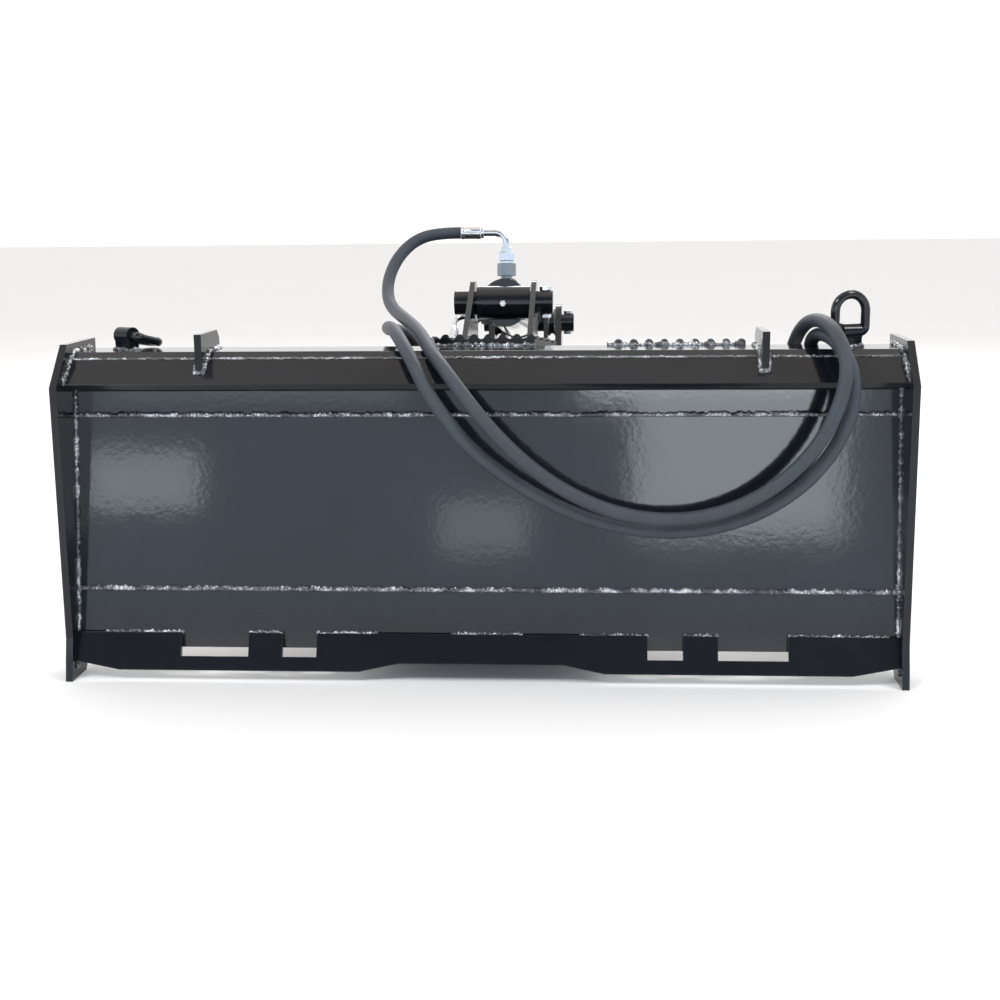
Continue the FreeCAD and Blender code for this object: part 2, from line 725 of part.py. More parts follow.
def make_barrel():
    tube = tube_shape("barrel_tube_wall", "Dims.barrel_r", "Dims.barrel_end - 12")
    along_ram(tube, 12)
    room = tube_shape("barrel_room", "Dims.bore_r", "Dims.barrel_end")
    along_ram(room, 58)
    bosses = [tube]
    holes = [room]
    for name, run, upward in (("base", d.base_port_at, True), ("rod", d.rod_port_at, False)):
        place = port_place(run, upward)
        boss = tube_shape(f"{name}_port_boss", "Dims.port_r + 3", "10")
        boss.Placement = place.multiply(Placement(Vector(0, 0, -6), Rotation()))
        hole = tube_shape(f"{name}_port_hole", "5", "30")
        hole.Placement = place.multiply(Placement(Vector(0, 0, -14), Rotation()))
        bosses.append(boss)
        holes.append(hole)
    solid = fused("barrel_solid", bosses)
    bored = doc.addObject("Part::Cut", "barrel_bored")
    bored.Base = solid
    bored.Tool = fused("barrel_holes", holes)
    keep(saddle("cylinder_barrel", bored, "Dims.tube_r", d.base_y, d.base_z), "cylinder_barrel")
    tube = tube_shape("cross_tube", "Dims.tube_r", "2 * Dims.tube_half", "Dims.pin_r + Dims.pin_gap")
    along_x(tube, d.ram_x - d.tube_half, d.base_y, d.base_z)
    keep(tube, "cross_tube")


def make_nipple():
    """A grease nipple on the cross tube, between the ears, facing the machine."""
    nipple = fused(
        "grease_nipple",
        [
            hexagon("nipple_hex", 5, 4, 0),
            round_run("nipple_stem", 2.5, 8, 3),
            round_run("nipple_head", 3.2, 3, 10),
        ],
    )
    seat = Vector(d.ram_x, d.base_y - d.tube_r, d.base_z)
    nipple.Placement = Placement(seat, Rotation(Vector(1, 0, 0), 90))
    keep(nipple, "grease_nipple")


def make_gland():
    """The gland screws into the barrel's mouth and carries the rod's seals in a groove."""
    face = tube_shape("gland_face", "Dims.gland_r", "Dims.gland_end - Dims.barrel_end")
    face.Placement.Base.z = 30
    spigot = tube_shape("gland_spigot", "Dims.bore_r", "31")
    hole = tube_shape("gland_hole", "Dims.rod_r + Dims.pin_gap", "200")
    hole.Placement.Base.z = -50
    groove = tube_shape("gland_groove", "Dims.rod_r + 5", "8")
    groove.Placement.Base.z = 10
    gland = doc.addObject("Part::Cut", "gland")
    gland.Base = fused("gland_solid", [face, spigot])
    gland.Tool = fused("gland_rooms", [hole, groove])
    along_ram(gland, d.barrel_end - 30)
    keep(gland, "gland")
    seal = tube_shape("rod_seal", "Dims.rod_r + 5", "8", "Dims.rod_r + Dims.pin_gap")
    along_ram(seal, d.barrel_end - 20)
    keep(seal, "rod_seal")


def make_piston():
    """The piston with two seal grooves, held on the rod's spigot by a nut."""
    body = tube_shape("piston_disc", "Dims.bore_r - Dims.pin_gap", "Dims.piston_thick")
    rooms = [tube_shape("piston_hole", "12", "100")]
    seals = []
    for number, at in enumerate((7, 21), start=1):
        room = tube_shape(f"piston_groove_{number}", "Dims.bore_r + 5", "8", "Dims.bore_r - 5")
        room.Placement.Base.z = at
        rooms.append(room)
        seal = tube_shape(f"piston_ring_{number}", "Dims.bore_r - Dims.pin_gap", "8", "Dims.bore_r - 5")
        along_ram(seal, d.piston_at + at)
        seals.append(seal)
    piston = doc.addObject("Part::Cut", "piston")
    piston.Base = body
    piston.Tool = fused("piston_rooms", rooms)
    along_ram(piston, d.piston_at)
    keep(piston, "piston")
    keep(gathered("piston_seals", seals), "piston_seals")
    nut = doc.addObject("Part::Prism", "piston_nut_hex")
    nut.Polygon = 6
    nut.Circumradius = 20
    nut.Height = 16
    hole = tube_shape("piston_nut_hole", "12", "60")
    hole.Placement.Base.z = -10
    locked = doc.addObject("Part::Cut", "piston_nut")
    locked.Base = nut
    locked.Tool = hole
    along_ram(locked, d.piston_at - 16)
    keep(locked, "piston_nut")


def make_rod():
    """The rod with its piston spigot, and the eye that the arm's pin passes through."""
    shoulder = d.piston_at + d.piston_thick
    spigot = tube_shape("rod_spigot", "12", f"{d.piston_thick + 22}")
    along_ram(spigot, d.piston_at - 20)
    shank = tube_shape("rod_shank", "Dims.rod_r", f"{pin_to_pin() - d.eye_r + 10 - shoulder}")
    along_ram(shank, shoulder)
    whole = fused("rod_solid", [spigot, shank])
    keep(saddle("piston_rod", whole, "Dims.eye_r", d.rod_y, d.rod_z), "piston_rod")
    eye = tube_shape("rod_eye", "Dims.eye_r", "2 * Dims.eye_half", "Dims.eye_bore")
    along_x(eye, d.ram_x - d.eye_half, d.rod_y, d.rod_z)
    keep(eye, "rod_eye")


def hexagon(label, across_corners, high, at, bore=None):
    """A hexagon along Z from a height, with a round hole if bore is given."""
    block = doc.addObject("Part::Prism", label + "_block")
    block.Polygon = 6
    block.Circumradius = across_corners
    block.Height = high
    block.Placement.Base = Vector(0, 0, at)
    if bore is None:
        return block
    hole = doc.addObject("Part::Cylinder", label + "_hole")
    hole.Radius = bore
    hole.Height = 3 * high
    hole.Placement.Base = Vector(0, 0, at - high)
    cut = doc.addObject("Part::Cut", label)
    cut.Base = block
    cut.Tool = hole
    return cut


def round_run(label, radius, high, at):
    piece = doc.addObject("Part::Cylinder", label)
    piece.Radius = radius
    piece.Height = high
    piece.Placement.Base = Vector(0, 0, at)
    return piece


ELBOW_CORNER = 79
ELBOW_BEND = 20


def make_fitting(name, run, upward):
    """A port's adapter, and its hose end: swivel nut, bent stem and crimped ferrule."""
    place = port_place(run, upward)
    adapter = fused(
        f"adapter_{name}",
        [
            round_run(f"adapter_neck_{name}", 9, 6, 4),
            hexagon(f"adapter_hex_{name}", 15, 20, 9),
            round_run(f"adapter_thread_{name}", 8, 4, 28),
        ],
    )
    adapter.Placement = place
    nut = hexagon(f"swivel_nut_{name}", 13, 23, 32, d.stem_r)
    corner, bend = ELBOW_CORNER, ELBOW_BEND
    reach = 36.6
    stem_line = [
        Part.LineSegment(Vector(0, 0, 34), Vector(0, 0, corner - bend)),
        Part.Arc(
            Vector(0, 0, corner - bend),
            Vector(-bend * (1 - math.sqrt(0.5)), 0, corner - bend * (1 - math.sqrt(0.5))),
            Vector(-bend, 0, corner),
        ),
        Part.LineSegment(Vector(-bend, 0, corner), Vector(-reach - 4, 0, corner)),
    ]
    stem = swept(f"stem_{name}", Part.Wire([edge.toShape() for edge in stem_line]), d.stem_r)
    ferrule = tube_shape(f"ferrule_{name}", "Dims.ferrule_r", "Dims.ferrule_long")
    ferrule.Placement = Placement(Vector(-reach, 0, corner), Rotation(Vector(0, 1, 0), -90))
    tail = fused(f"hose_tail_{name}", [stem, ferrule])
    group = gathered(f"hose_end_{name}", [nut, tail])
    group.Placement = place
    keep(group, f"hose_end_{name}")
    exit_at = place.multVec(Vector(-reach - d.ferrule_long, 0, corner))
    ahead = place.Rotation.multVec(Vector(-1, 0, 0))
    return adapter, exit_at, ahead


# ------------------------------------------------------------------ hoses

BASE_ROUTE = [
    (-103.7, 463.8, 611.5),
    (-149.7, 450.1, 597.7),
    (-186.3, 419.9, 569.2),
    (-198.8, 378.8, 534.2),
    (-182.1, 329.4, 497.6),
    (-149.5, 275, 492.5),
    (-125.7, 219.2, 492.6),
    (-107.9, 161.9, 493.6),
    (-93.2, 103.8, 492.7),
    (-77.1, 46.8, 484.6),
    (-53.9, -2.7, 460.6),
    (-21.4, -29.8, 418.5),
    (14.3, -35.9, 370.9),
    (54.7, -34.9, 326.9),
    (101.7, -33.7, 290.3),
    (154.8, -33.6, 263.2),
    (212.1, -33.9, 246.8),
    (271.5, -33.8, 242.4),
    (330.1, -33.5, 252.7),
    (383.8, -33.7, 278.1),
    (429.1, -35.5, 316.5),
    (463.5, -36.9, 364.8),
    (484, -29.9, 420),
    (486.9, -2.2, 472.1),
    (474.1, 44.2, 506.6),
    (455.1, 99.7, 514.2),
    (442.6, 154, 494.3),
    (435.9, 196.8, 454.1),
    (432.5, 224.4, 401.8),
    (430.8, 238, 344.2),
    (430.1, 242.5, 285.2),
    (429.9, 243.3, 226),
    (430, 246.7, 166.9),
    (430.2, 260.6, 109.4),
    (430.2, 292.2, 59.4),
    (429.6, 341, 26.1),
    (428, 398.5, 15),
    (425, 457.4, 15),
]
ROD_ROUTE = [
    (-103, 686.9, 393.5),
    (-101.3, 639.4, 359.5),
    (-102.4, 583.2, 344.5),
    (-109, 527.1, 358.7),
    (-121.3, 485.6, 397.8),
    (-134.2, 451.4, 442),
    (-147.6, 404.3, 471.2),
    (-155.9, 348, 474.8),
    (-166.2, 283.9, 468),
    (-156.7, 228.9, 484.3),
    (-136.8, 175.6, 500.5),
    (-124.9, 118.4, 504.8),
    (-109.2, 63.4, 493.6),
    (-90.1, 18.1, 465.2),
    (-57.9, -7.2, 423.6),
    (-28, -15.2, 374.9),
    (5.8, -14, 327.9),
    (47.2, -11.9, 287.9),
    (97.3, -11.4, 256.5),
    (152.1, -11.8, 234.2),
    (209.8, -12.1, 221.3),
    (268.9, -11.9, 218.8),
    (327.5, -11.2, 227.7),
    (382.9, -11.3, 248.4),
    (432.8, -14.2, 280.1),
    (473.6, -19.6, 322.7),
    (497, -18.5, 377),
    (497, 1.4, 432.4),
    (479.3, 40.5, 472.8),
    (460.9, 94.5, 487.2),
    (464.2, 153.5, 481.2),
    (466.2, 201.6, 447.2),
    (463.5, 227.2, 394),
    (459.2, 232.8, 335.3),
    (456.2, 229.8, 276.3),
    (455.3, 227.3, 217.3),
    (456.5, 232, 158.4),
    (459.6, 249.5, 102),
    (465, 284.3, 54.5),
    (472.2, 334.3, 24.1),
    (480.4, 391.7, 15),
    (488.9, 450, 15),
]


def bend_radius(before, at, after):
    """The largest arc a corner of the route allows: 0.45 of the shorter run on each side."""
    turn = (at - before).getAngle(after - at)
    shorter = min((at - before).Length, (after - at).Length)
    return 0.45 * shorter / math.tan(turn / 2), turn


def route_wire(points):
    """Straight runs joined by tangent arcs, one at each corner of the route."""
    edges = []
    radii = []
    last = points[0]
    for before, at, after in zip(points, points[1:], points[2:]):
        radius, turn = bend_radius(before, at, after)
        radii.append(radius)
        back = radius * math.tan(turn / 2)
        toward = (before - at).normalize()
        onward = (after - at).normalize()
        start = at + toward * back
        end = at + onward * back
        inward = (toward + onward).normalize()
        middle = at + inward * (radius / math.cos(turn / 2) - radius)
        edges.append(Part.LineSegment(last, start).toShape())
        edges.append(Part.Arc(start, middle, end).toShape())
        last = end
    edges.append(Part.LineSegment(last, points[-1]).toShape())
    return Part.Wire(edges), radii


def make_hose(name, exit_at, route):
    """One hose from its ferrule to its coupler, as a tube of its real length."""
    points = [exit_at] + [Vector(*point) for point in route]
    wire, radii = route_wire(points)
    hose = swept(f"hose_{name}", wire, d.hose_r)
    section = math.pi * d.hose_r ** 2
    share = hose.Shape.Volume / (section * wire.Length)
    runs = [(b - a).Length for a, b in zip(points, points[1:])]
    print(
        f"hose_{name}: length {wire.Length:.0f}, runs {min(runs):.0f}-{max(runs):.0f},"
        f" tightest {min(radii):.0f} at {radii.index(min(radii)) + 1}, volume share {share:.4f}"
    )
    print("  radii", [round(radius) for radius in radii])
    keep(hose, f"hose_{name}")
    return make_coupler(name, points[-1], (points[-1] - points[-2]).normalize())


def make_coupler(name, at, ahead):
    """A quick coupler half: ferrule, hexagon, body and a rubber dust plug on its nose."""
    body = fused(
        f"coupler_body_{name}",
        [
            round_run(f"coupler_ferrule_{name}", 11.5, 34, 0),
            hexagon(f"coupler_hex_{name}", 14, 14, 33),
            round_run(f"coupler_sleeve_{name}", 13, 30, 46),
            round_run(f"coupler_nose_{name}", 10, 14, 75),
        ],
    )
    body.Placement = Placement(at, Rotation(Vector(0, 0, 1), ahead))
    return body


# ------------------------------------------------------------------ grapple arm


def outer_tangent(first, first_r, second, second_r, side):
    """The two ends of the line that touches both circles on one side."""
    reach = second - first
    way = math.atan2(reach.y, reach.x)
    lean = math.acos((first_r - second_r) / reach.Length)
    turn = math.degrees(way + side * lean)
    return on_circle(first, first_r, turn), on_circle(second, second_r, turn)


def make_arm_plates():
    """The arm's two side plates: a lever up to the rod pin and a serrated claw forward."""
    pivot = Vector(d.pivot_y, d.pivot_z, 0)
    rod = Vector(d.rod_y, d.rod_z, 0)
    hub_round, lever_round = 62, 36
    low, high = outer_tangent(pivot, hub_round, rod, lever_round, 1)
    under = on_circle(pivot, hub_round, -58)
    front = on_circle(rod, lever_round, -22)
    knee = Vector(1062, 340, 0)
    shoulder = Vector(1168, 334, 0)
    back = Vector(1276, 258, 0)
    nose = Vector(1338, 126, 0)
    tip_out, tip_in = Vector(1326, 92, 0), Vector(1298, 112, 0)
    throat, palm = Vector(1236, 196, 0), Vector(1140, 226, 0)
    curve = [
        Part.LineSegment(high, low),
        arc_between(pivot, hub_round, low, under, -135),
        Part.LineSegment(under, palm),
    ]
    curve += scallops(palm, throat, d.tooth_step, d.notch_deep)
    curve += scallops(throat, tip_in, d.tooth_step, d.notch_deep)
    curve += [
        Part.LineSegment(tip_in, tip_out),
        Part.LineSegment(tip_out, nose),
        Part.Arc(nose, Vector(1316, 196, 0), back),
        Part.Arc(back, Vector(1230, 308, 0), shoulder),
        Part.LineSegment(shoulder, knee),
        Part.LineSegment(knee, front),
        arc_between(rod, lever_round, front, high, 60),
    ]
    holes = [
        (d.pivot_y, d.pivot_z, d.hub_r),
        (d.rod_y, d.rod_z, d.rod_pin_r + d.pin_gap),
    ]
    places = (
        ("left", "Dims.arm_x - Dims.arm_half - Dims.arm_thick / 2"),
        ("right", "Dims.arm_x + Dims.arm_half - Dims.arm_thick / 2"),
    )
    for side, place_x in places:
        label = "arm_plate_" + side
        place = (place_x, None, None)
        body = padded_body(label, "YZ_Plane", "Dims.arm_thick", curve=curve, holes=holes, place=place)
        keep(body, label)
    tips = []
    corners = [(f"{p.x}", f"{p.y}") for p in (tip_in, Vector(1316, 58, 0), Vector(1328, 60, 0), tip_out)]
    for side, place_x in places:
        place = (f"{place_x} - 7", None, None)
        tips.append(padded_body("claw_tip_" + side, "YZ_Plane", "Dims.arm_thick + 14", corners, place=place))
    keep(gathered("claw_tips", tips), "claw_tips")


def make_clevis():
    """The inner pair of plates that fork round the rod's eye, and the bosses beside them."""
    pivot = Vector(d.pivot_y, d.pivot_z, 0)
    rod = Vector(d.rod_y, d.rod_z, 0)
    hub_round, eye_round = 54, 34
    low, high = outer_tangent(pivot, hub_round, rod, eye_round, 1)
    low_front, high_front = outer_tangent(pivot, hub_round, rod, eye_round, -1)
    curve = [
        Part.LineSegment(high, low),
        arc_between(pivot, hub_round, low, low_front, -110),
        Part.LineSegment(low_front, high_front),
        arc_between(rod, eye_round, high_front, high, 70),
    ]
    holes = [
        (d.pivot_y, d.pivot_z, d.hub_r),
        (d.rod_y, d.rod_z, d.rod_pin_r + d.pin_gap),
    ]
    places = (
        ("left", "Dims.arm_x - Dims.clevis_half - Dims.clevis_thick / 2"),
        ("right", "Dims.arm_x + Dims.clevis_half - Dims.clevis_thick / 2"),
    )
    for side, place_x in places:
        label = "clevis_plate_" + side
        place = (place_x, None, None)
        body = padded_body(
            label, "YZ_Plane", "Dims.clevis_thick", curve=curve, holes=holes, place=place
        )
        keep(body, label)
    gap = d.arm_half - d.arm_thick / 2 - d.clevis_half - d.clevis_thick / 2
    bosses = []
    starts = (d.arm_x - d.arm_half + d.arm_thick / 2, d.arm_x + d.clevis_half + d.clevis_thick / 2)
    for side, start in zip(("left", "right"), starts):
        boss = tube_shape(
            "lever_boss_" + side, "Dims.lever_boss_r", f"{gap}", "Dims.rod_pin_r + Dims.pin_gap"
        )
        along_x(boss, start, d.rod_y, d.rod_z)
        bosses.append(boss)
    keep(gathered("lever_bosses", bosses), "lever_bosses")


def make_rod_pin():
    start = d.arm_x - 84
    bolt_x = d.arm_x + 85
    drilled_pin("rod_pin", "Dims.rod_pin_r", "Dims.rod_pin_half * 2 - 12", start, d.rod_y, d.rod_z, bolt_x)
    cross_bolt("rod_pin_bolt", bolt_x, d.rod_y, d.rod_z, d.rod_pin_r)


def make_braces():
    """Cross plates between the claws: one along the back and one in the palm."""
    inside = "2 * Dims.arm_half - Dims.arm_thick"
    place = ("Dims.arm_x - Dims.arm_half + Dims.arm_thick / 2", None, None)
    shapes = (
        ("brace_back", [("1100", "322"), ("1165", "318"), ("1165", "306"), ("1100", "310")]),
        ("brace_front", [("1226", "278"), ("1272", "236"), ("1264", "227"), ("1218", "269")]),
        ("brace_palm", [("1060", "258"), ("1130", "250"), ("1130", "238"), ("1060", "246")]),
    )
    plates = [
        padded_body(name, "YZ_Plane", inside, corners, place=place) for name, corners in shapes
    ]
    keep(gathered("arm_braces", plates), "arm_braces")


def make_hub():
    """The tube the arm turns on, its flanged bushes, and the two pins in the bucket's sides."""
    hub = tube_shape("hub_tube", "Dims.hub_r", "2 * (Dims.hub_half - 5)", "Dims.bush_r")
    along_x(hub, 5 - d.hub_half, d.pivot_y, d.pivot_z)
    keep(hub, "hub_tube")
    inner_face = d.bucket_half - d.side_thick
    bush_long = 42
    flange = inner_face - 0.4 - (d.hub_half - 5)
    bushes = []
    bosses = []
    pins = []
    for side, sign in (("left", -1), ("right", 1)):
        sleeve = tube_shape(f"bush_sleeve_{side}", "Dims.bush_r", f"{bush_long}")
        sleeve.Placement.Base.z = -bush_long
        rim = tube_shape(f"bush_rim_{side}", "Dims.hub_r - 4", f"{flange}")
        hole = tube_shape(f"bush_hole_{side}", "Dims.pivot_pin_r + Dims.pin_gap", "200")
        hole.Placement.Base.z = -100
        bush = doc.addObject("Part::Cut", f"bush_{side}")
        bush.Base = fused(f"bush_solid_{side}", [sleeve, rim])
        bush.Tool = hole
        turn = Rotation(Vector(0, 1, 0), 90 * sign)
        bush.Placement = Placement(Vector(sign * (d.hub_half - 5), d.pivot_y, d.pivot_z), turn)
        bushes.append(bush)
        boss = tube_shape(f"boss_{side}", "Dims.boss_r", "Dims.boss_thick", "Dims.pivot_pin_r + Dims.pin_gap")
        boss.Placement = Placement(Vector(sign * d.bucket_half, d.pivot_y, d.pivot_z), turn)
        bosses.append(boss)
        pin = tube_shape(f"pivot_pin_bar_{side}", "Dims.pivot_pin_r", "80")
        head = tube_shape(f"pivot_pin_head_{side}", "Dims.pivot_pin_r + 8", "6")
        head.Placement.Base.z = 80
        whole = fused(f"pivot_pin_{side}", [pin, head])
        outer = d.bucket_half + d.boss_thick
        whole.Placement = Placement(Vector(sign * (outer - 80), d.pivot_y, d.pivot_z), turn)
        pins.append(whole)
    keep(gathered("pivot_pins", pins), "pivot_pins")
    keep(gathered("pivot_bushes", bushes), "pivot_bushes")
    keep(gathered("pivot_bosses", bosses), "pivot_bosses")


# ------------------------------------------------------------------ everything, in order


def check_and_write():
    """Stops on a failed object or a bad shape, and writes each node's own file."""
    for thing in doc.Objects:
        if "Invalid" in thing.State or "Error" in thing.State:
            raise RuntimeError(f"{thing.Label} failed: {thing.State}")
    os.makedirs("parts", exist_ok=True)
    for thing in nodes:
        shape = thing.Shape
        if shape.isNull() or not shape.isValid() or not shape.Solids:
            raise RuntimeError(f"{thing.Label} has no valid solid")
        shape.exportStep(f"parts/{thing.Label}.step")
    print(len(nodes), "nodes written")


def main():
    make_panels()
    make_lip_and_top()
    make_flange()
    make_end_plates()
    make_fins()
    make_rings()
    make_floor()
    make_skids()
    make_teeth()
    make_sides()
    make_cheeks()
    make_deck()
    make_deck_ribs()
    make_guard()
    make_ears()
    make_base_pin()
    make_barrel()
    make_nipple()
    make_gland()
    make_piston()
    make_rod()
    adapters = []
    couplers = []
    hoses = (
        ("base", d.base_port_at, True, BASE_ROUTE),
        ("rod", d.rod_port_at, False, ROD_ROUTE),
    )
    for name, run, upward, route in hoses:
        adapter, exit_at, ahead = make_fitting(name, run, upward)
        adapters.append(adapter)
        print(f"exit of hose_{name}:", exit_at, "towards", ahead)
        couplers.append(make_hose(name, exit_at, route))
    keep(gathered("port_adapters", adapters), "port_adapters")
    keep(gathered("hose_couplers", couplers), "hose_couplers")
    make_arm_plates()
    make_clevis()
    make_rod_pin()
    make_braces()
    make_hub()
    doc.recompute()
    check_and_write()


main()
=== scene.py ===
"""Looks for the skid steer grapple bucket: paint, weld beads, hoses, fittings and the studio.

X runs across the plate, Y forward from the plate to the teeth, Z up, all in metres.
"""

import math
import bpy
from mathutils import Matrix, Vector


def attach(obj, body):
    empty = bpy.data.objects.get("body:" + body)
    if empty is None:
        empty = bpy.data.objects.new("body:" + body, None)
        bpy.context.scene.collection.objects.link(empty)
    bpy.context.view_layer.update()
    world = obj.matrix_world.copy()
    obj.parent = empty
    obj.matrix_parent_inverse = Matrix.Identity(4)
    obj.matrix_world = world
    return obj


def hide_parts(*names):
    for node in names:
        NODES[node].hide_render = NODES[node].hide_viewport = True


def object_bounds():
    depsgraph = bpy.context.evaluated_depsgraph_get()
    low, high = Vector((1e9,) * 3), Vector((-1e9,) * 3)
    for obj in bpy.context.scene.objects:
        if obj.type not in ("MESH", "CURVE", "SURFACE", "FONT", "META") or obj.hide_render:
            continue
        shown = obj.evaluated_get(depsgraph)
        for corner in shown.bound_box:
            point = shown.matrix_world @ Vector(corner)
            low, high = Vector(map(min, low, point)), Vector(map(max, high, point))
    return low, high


bl_info = {
    "name": "Grapple Bucket Finish",
    "version": (1, 0, 0),
    "blender": (4, 5, 0),
    "location": "View3D > Sidebar > Grapple Bucket",
    "description": "Paints, welds and plumbs a skid steer grapple bucket",
    "category": "Object",
}

import bpy
import bmesh
from bpy.props import FloatProperty, FloatVectorProperty, IntProperty, PointerProperty
from mathutils import Matrix, Vector

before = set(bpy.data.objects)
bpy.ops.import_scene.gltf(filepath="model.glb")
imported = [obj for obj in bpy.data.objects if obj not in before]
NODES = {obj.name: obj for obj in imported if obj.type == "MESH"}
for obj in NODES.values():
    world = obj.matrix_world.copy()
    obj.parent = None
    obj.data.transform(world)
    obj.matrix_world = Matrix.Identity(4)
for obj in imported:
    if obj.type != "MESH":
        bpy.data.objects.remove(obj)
CAD_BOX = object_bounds()

BUCKET, BARREL, ARM = "bucket_and_plate", "cylinder_barrel_body", "grapple_arm"
HOSE_DIAMETER = 0.019

# -------------------- settings


class PaintSettings(bpy.types.PropertyGroup):
    body_colour: FloatVectorProperty(
        name="Paint", description="Colour of the gloss enamel", subtype="COLOR", size=3,
        default=(0.0085, 0.0105, 0.0145), min=0, max=1,
    )
    gloss: FloatProperty(
        name="Roughness", description="Roughness of the enamel", default=0.07, min=0.02, max=0.8
    )
    peel: FloatProperty(
        name="Orange peel", description="Depth of the enamel's ripple", default=0.020, min=0, max=1
    )
    zinc_colour: FloatVectorProperty(
        name="Zinc", description="Colour of the plated fittings", subtype="COLOR", size=3,
        default=(0.73, 0.75, 0.78), min=0, max=1,
    )


class WeldSettings(bpy.types.PropertyGroup):
    seam_width: FloatProperty(
        name="Seam width", description="Width of the panel's seams", default=0.0078,
        unit="LENGTH", min=0.003, max=0.02,
    )
    fillet_width: FloatProperty(
        name="Fillet width", description="Width of the corner welds", default=0.0085,
        unit="LENGTH", min=0.003, max=0.02,
    )
    ripple: FloatProperty(
        name="Ripple", description="Distance from one ripple to the next", default=0.0036,
        unit="LENGTH", min=0.0015, max=0.02,
    )


class HoseSettings(bpy.types.PropertyGroup):
    colour: FloatVectorProperty(
        name="Cover", description="Colour of the hose's rubber cover", subtype="COLOR", size=3,
        default=(0.040, 0.050, 0.066), min=0, max=1,
    )
    sides: IntProperty(
        name="Sides", description="Flats round the hose's surface", default=28, min=8, max=64
    )
    wrap_pitch: FloatProperty(
        name="Cloth pitch", description="Spacing of the cloth's print", default=0.0016,
        unit="LENGTH", min=0.0005, max=0.01,
    )


class StudioSettings(bpy.types.PropertyGroup):
    backdrop: FloatProperty(
        name="Backdrop", description="Brightness of the pale surround", default=1.25, min=0, max=5
    )
    ceiling: FloatVectorProperty(
        name="Ceiling", description="Colour of the dim ceiling", subtype="COLOR", size=3,
        default=(1.12, 1.02, 0.94), min=0, max=4,
    )
    room: FloatVectorProperty(
        name="Room", description="Colour of the room behind the camera", subtype="COLOR", size=3,
        default=(1.05, 1.22, 1.42), min=0, max=4,
    )
    floor_colour: FloatVectorProperty(
        name="Floor", description="Colour of the floor", subtype="COLOR", size=3,
        default=(0.97, 0.97, 0.97), min=0, max=1,
    )


# -------------------- node helpers

BLACK, WHITE = (0, 0, 0), (1, 1, 1)


def new_material(name):
    """A new node material, with its tree and its shader."""
    material = bpy.data.materials.new(name)
    material.use_nodes = True
    tree = material.node_tree
    return material, tree, tree.nodes["Principled BSDF"]


def add(tree, kind, **settings):
    """A new node with its own settings, such as its operation."""
    node = tree.nodes.new(kind)
    for key, value in settings.items():
        setattr(node, key, value)
    return node


def feed(node, name, value):
    """Gives an input a value, or links another node's output to it."""
    if isinstance(value, bpy.types.NodeSocket):
        node.id_data.links.new(value, node.inputs[name])
    else:
        node.inputs[name].default_value = value


def object_coordinates(tree):
    return add(tree, "ShaderNodeTexCoord").outputs["Object"]


def noise(tree, source, scale, detail=3.0, rough=0.5):
    """Cloudy noise from 0 to 1."""
    node = add(tree, "ShaderNodeTexNoise")
    feed(node, "Vector", source)
    feed(node, "Scale", scale)
    feed(node, "Detail", detail)
    feed(node, "Roughness", rough)
    return node.outputs["Fac"]


def ramp(tree, source, stops):
    """Colours at (place, colour) stops, blended between them."""
    node = add(tree, "ShaderNodeValToRGB")
    elements = node.color_ramp.elements
    while len(elements) < len(stops):
        elements.new(0.5)
    for element, (place, colour) in zip(elements, stops):
        element.position = place
        element.color = (*colour, 1)
    feed(node, "Fac", source)
    return node.outputs["Color"]


def spread(tree, source, low, high):
    """Maps 0-1 to low-high."""
    node = add(tree, "ShaderNodeMapRange")
    feed(node, "Value", source)
    feed(node, "To Min", low)
    feed(node, "To Max", high)
    return node.outputs["Result"]


def share(tree, source, low, high):
    """Maps low-high to 0-1."""
    result = spread(tree, source, 0.0, 1.0)
    feed(result.node, "From Min", low)
    feed(result.node, "From Max", high)
    return result


def math_node(tree, operation, first, second=0.0):
    node = add(tree, "ShaderNodeMath", operation=operation)
    feed(node, 0, first)
    feed(node, 1, second)
    return node.outputs["Value"]


def plus(tree, first, second):
    return math_node(tree, "ADD", first, second)


def times(tree, first, second):
    return math_node(tree, "MULTIPLY", first, second)


def mixed(tree, factor, first, second):
    """A blend of two colours, each a plain colour or another node's output."""
    node = add(tree, "ShaderNodeMix", data_type="RGBA")
    factor_socket, first_colour, second_colour, result = 0, 6, 7, 2
    feed(node, factor_socket, factor)
    for socket, value in ((first_colour, first), (second_colour, second)):
        feed(node, socket, (*value, 1) if isinstance(value, tuple) else value)
    return node.outputs[result]


def bumped(tree, shader, height, strength, distance, under=None):
    """Raises the surface by a height, over another normal if one is given."""
    node = add(tree, "ShaderNodeBump")
    feed(node, "Height", height)
    feed(node, "Strength", strength)
    feed(node, "Distance", distance)
    if under is not None:
        feed(node, "Normal", under)
    feed(shader, "Normal", node.outputs["Normal"])


def edge_rounding(tree, radius):
    """A normal that rounds sharp edges."""
    node = add(tree, "ShaderNodeBevel", samples=4)
    feed(node, "Radius", radius)
    return node.outputs["Normal"]


def edge_mask(tree, radius, sharpness):
    """1 along sharp edges and 0 on flats, from how far a rounded edge's normal leans."""
    dot = add(tree, "ShaderNodeVectorMath", operation="DOT_PRODUCT")
    feed(dot, 0, edge_rounding(tree, radius))
    feed(dot, 1, add(tree, "ShaderNodeNewGeometry").outputs["Normal"])
    return times(tree, math_node(tree, "SUBTRACT", 1.0, dot.outputs["Value"]), sharpness)


def shaded(colour, scale, lift=0.0):
    """A colour made lighter or darker."""
    return tuple(c * scale + lift for c in colour)


# -------------------- finishes


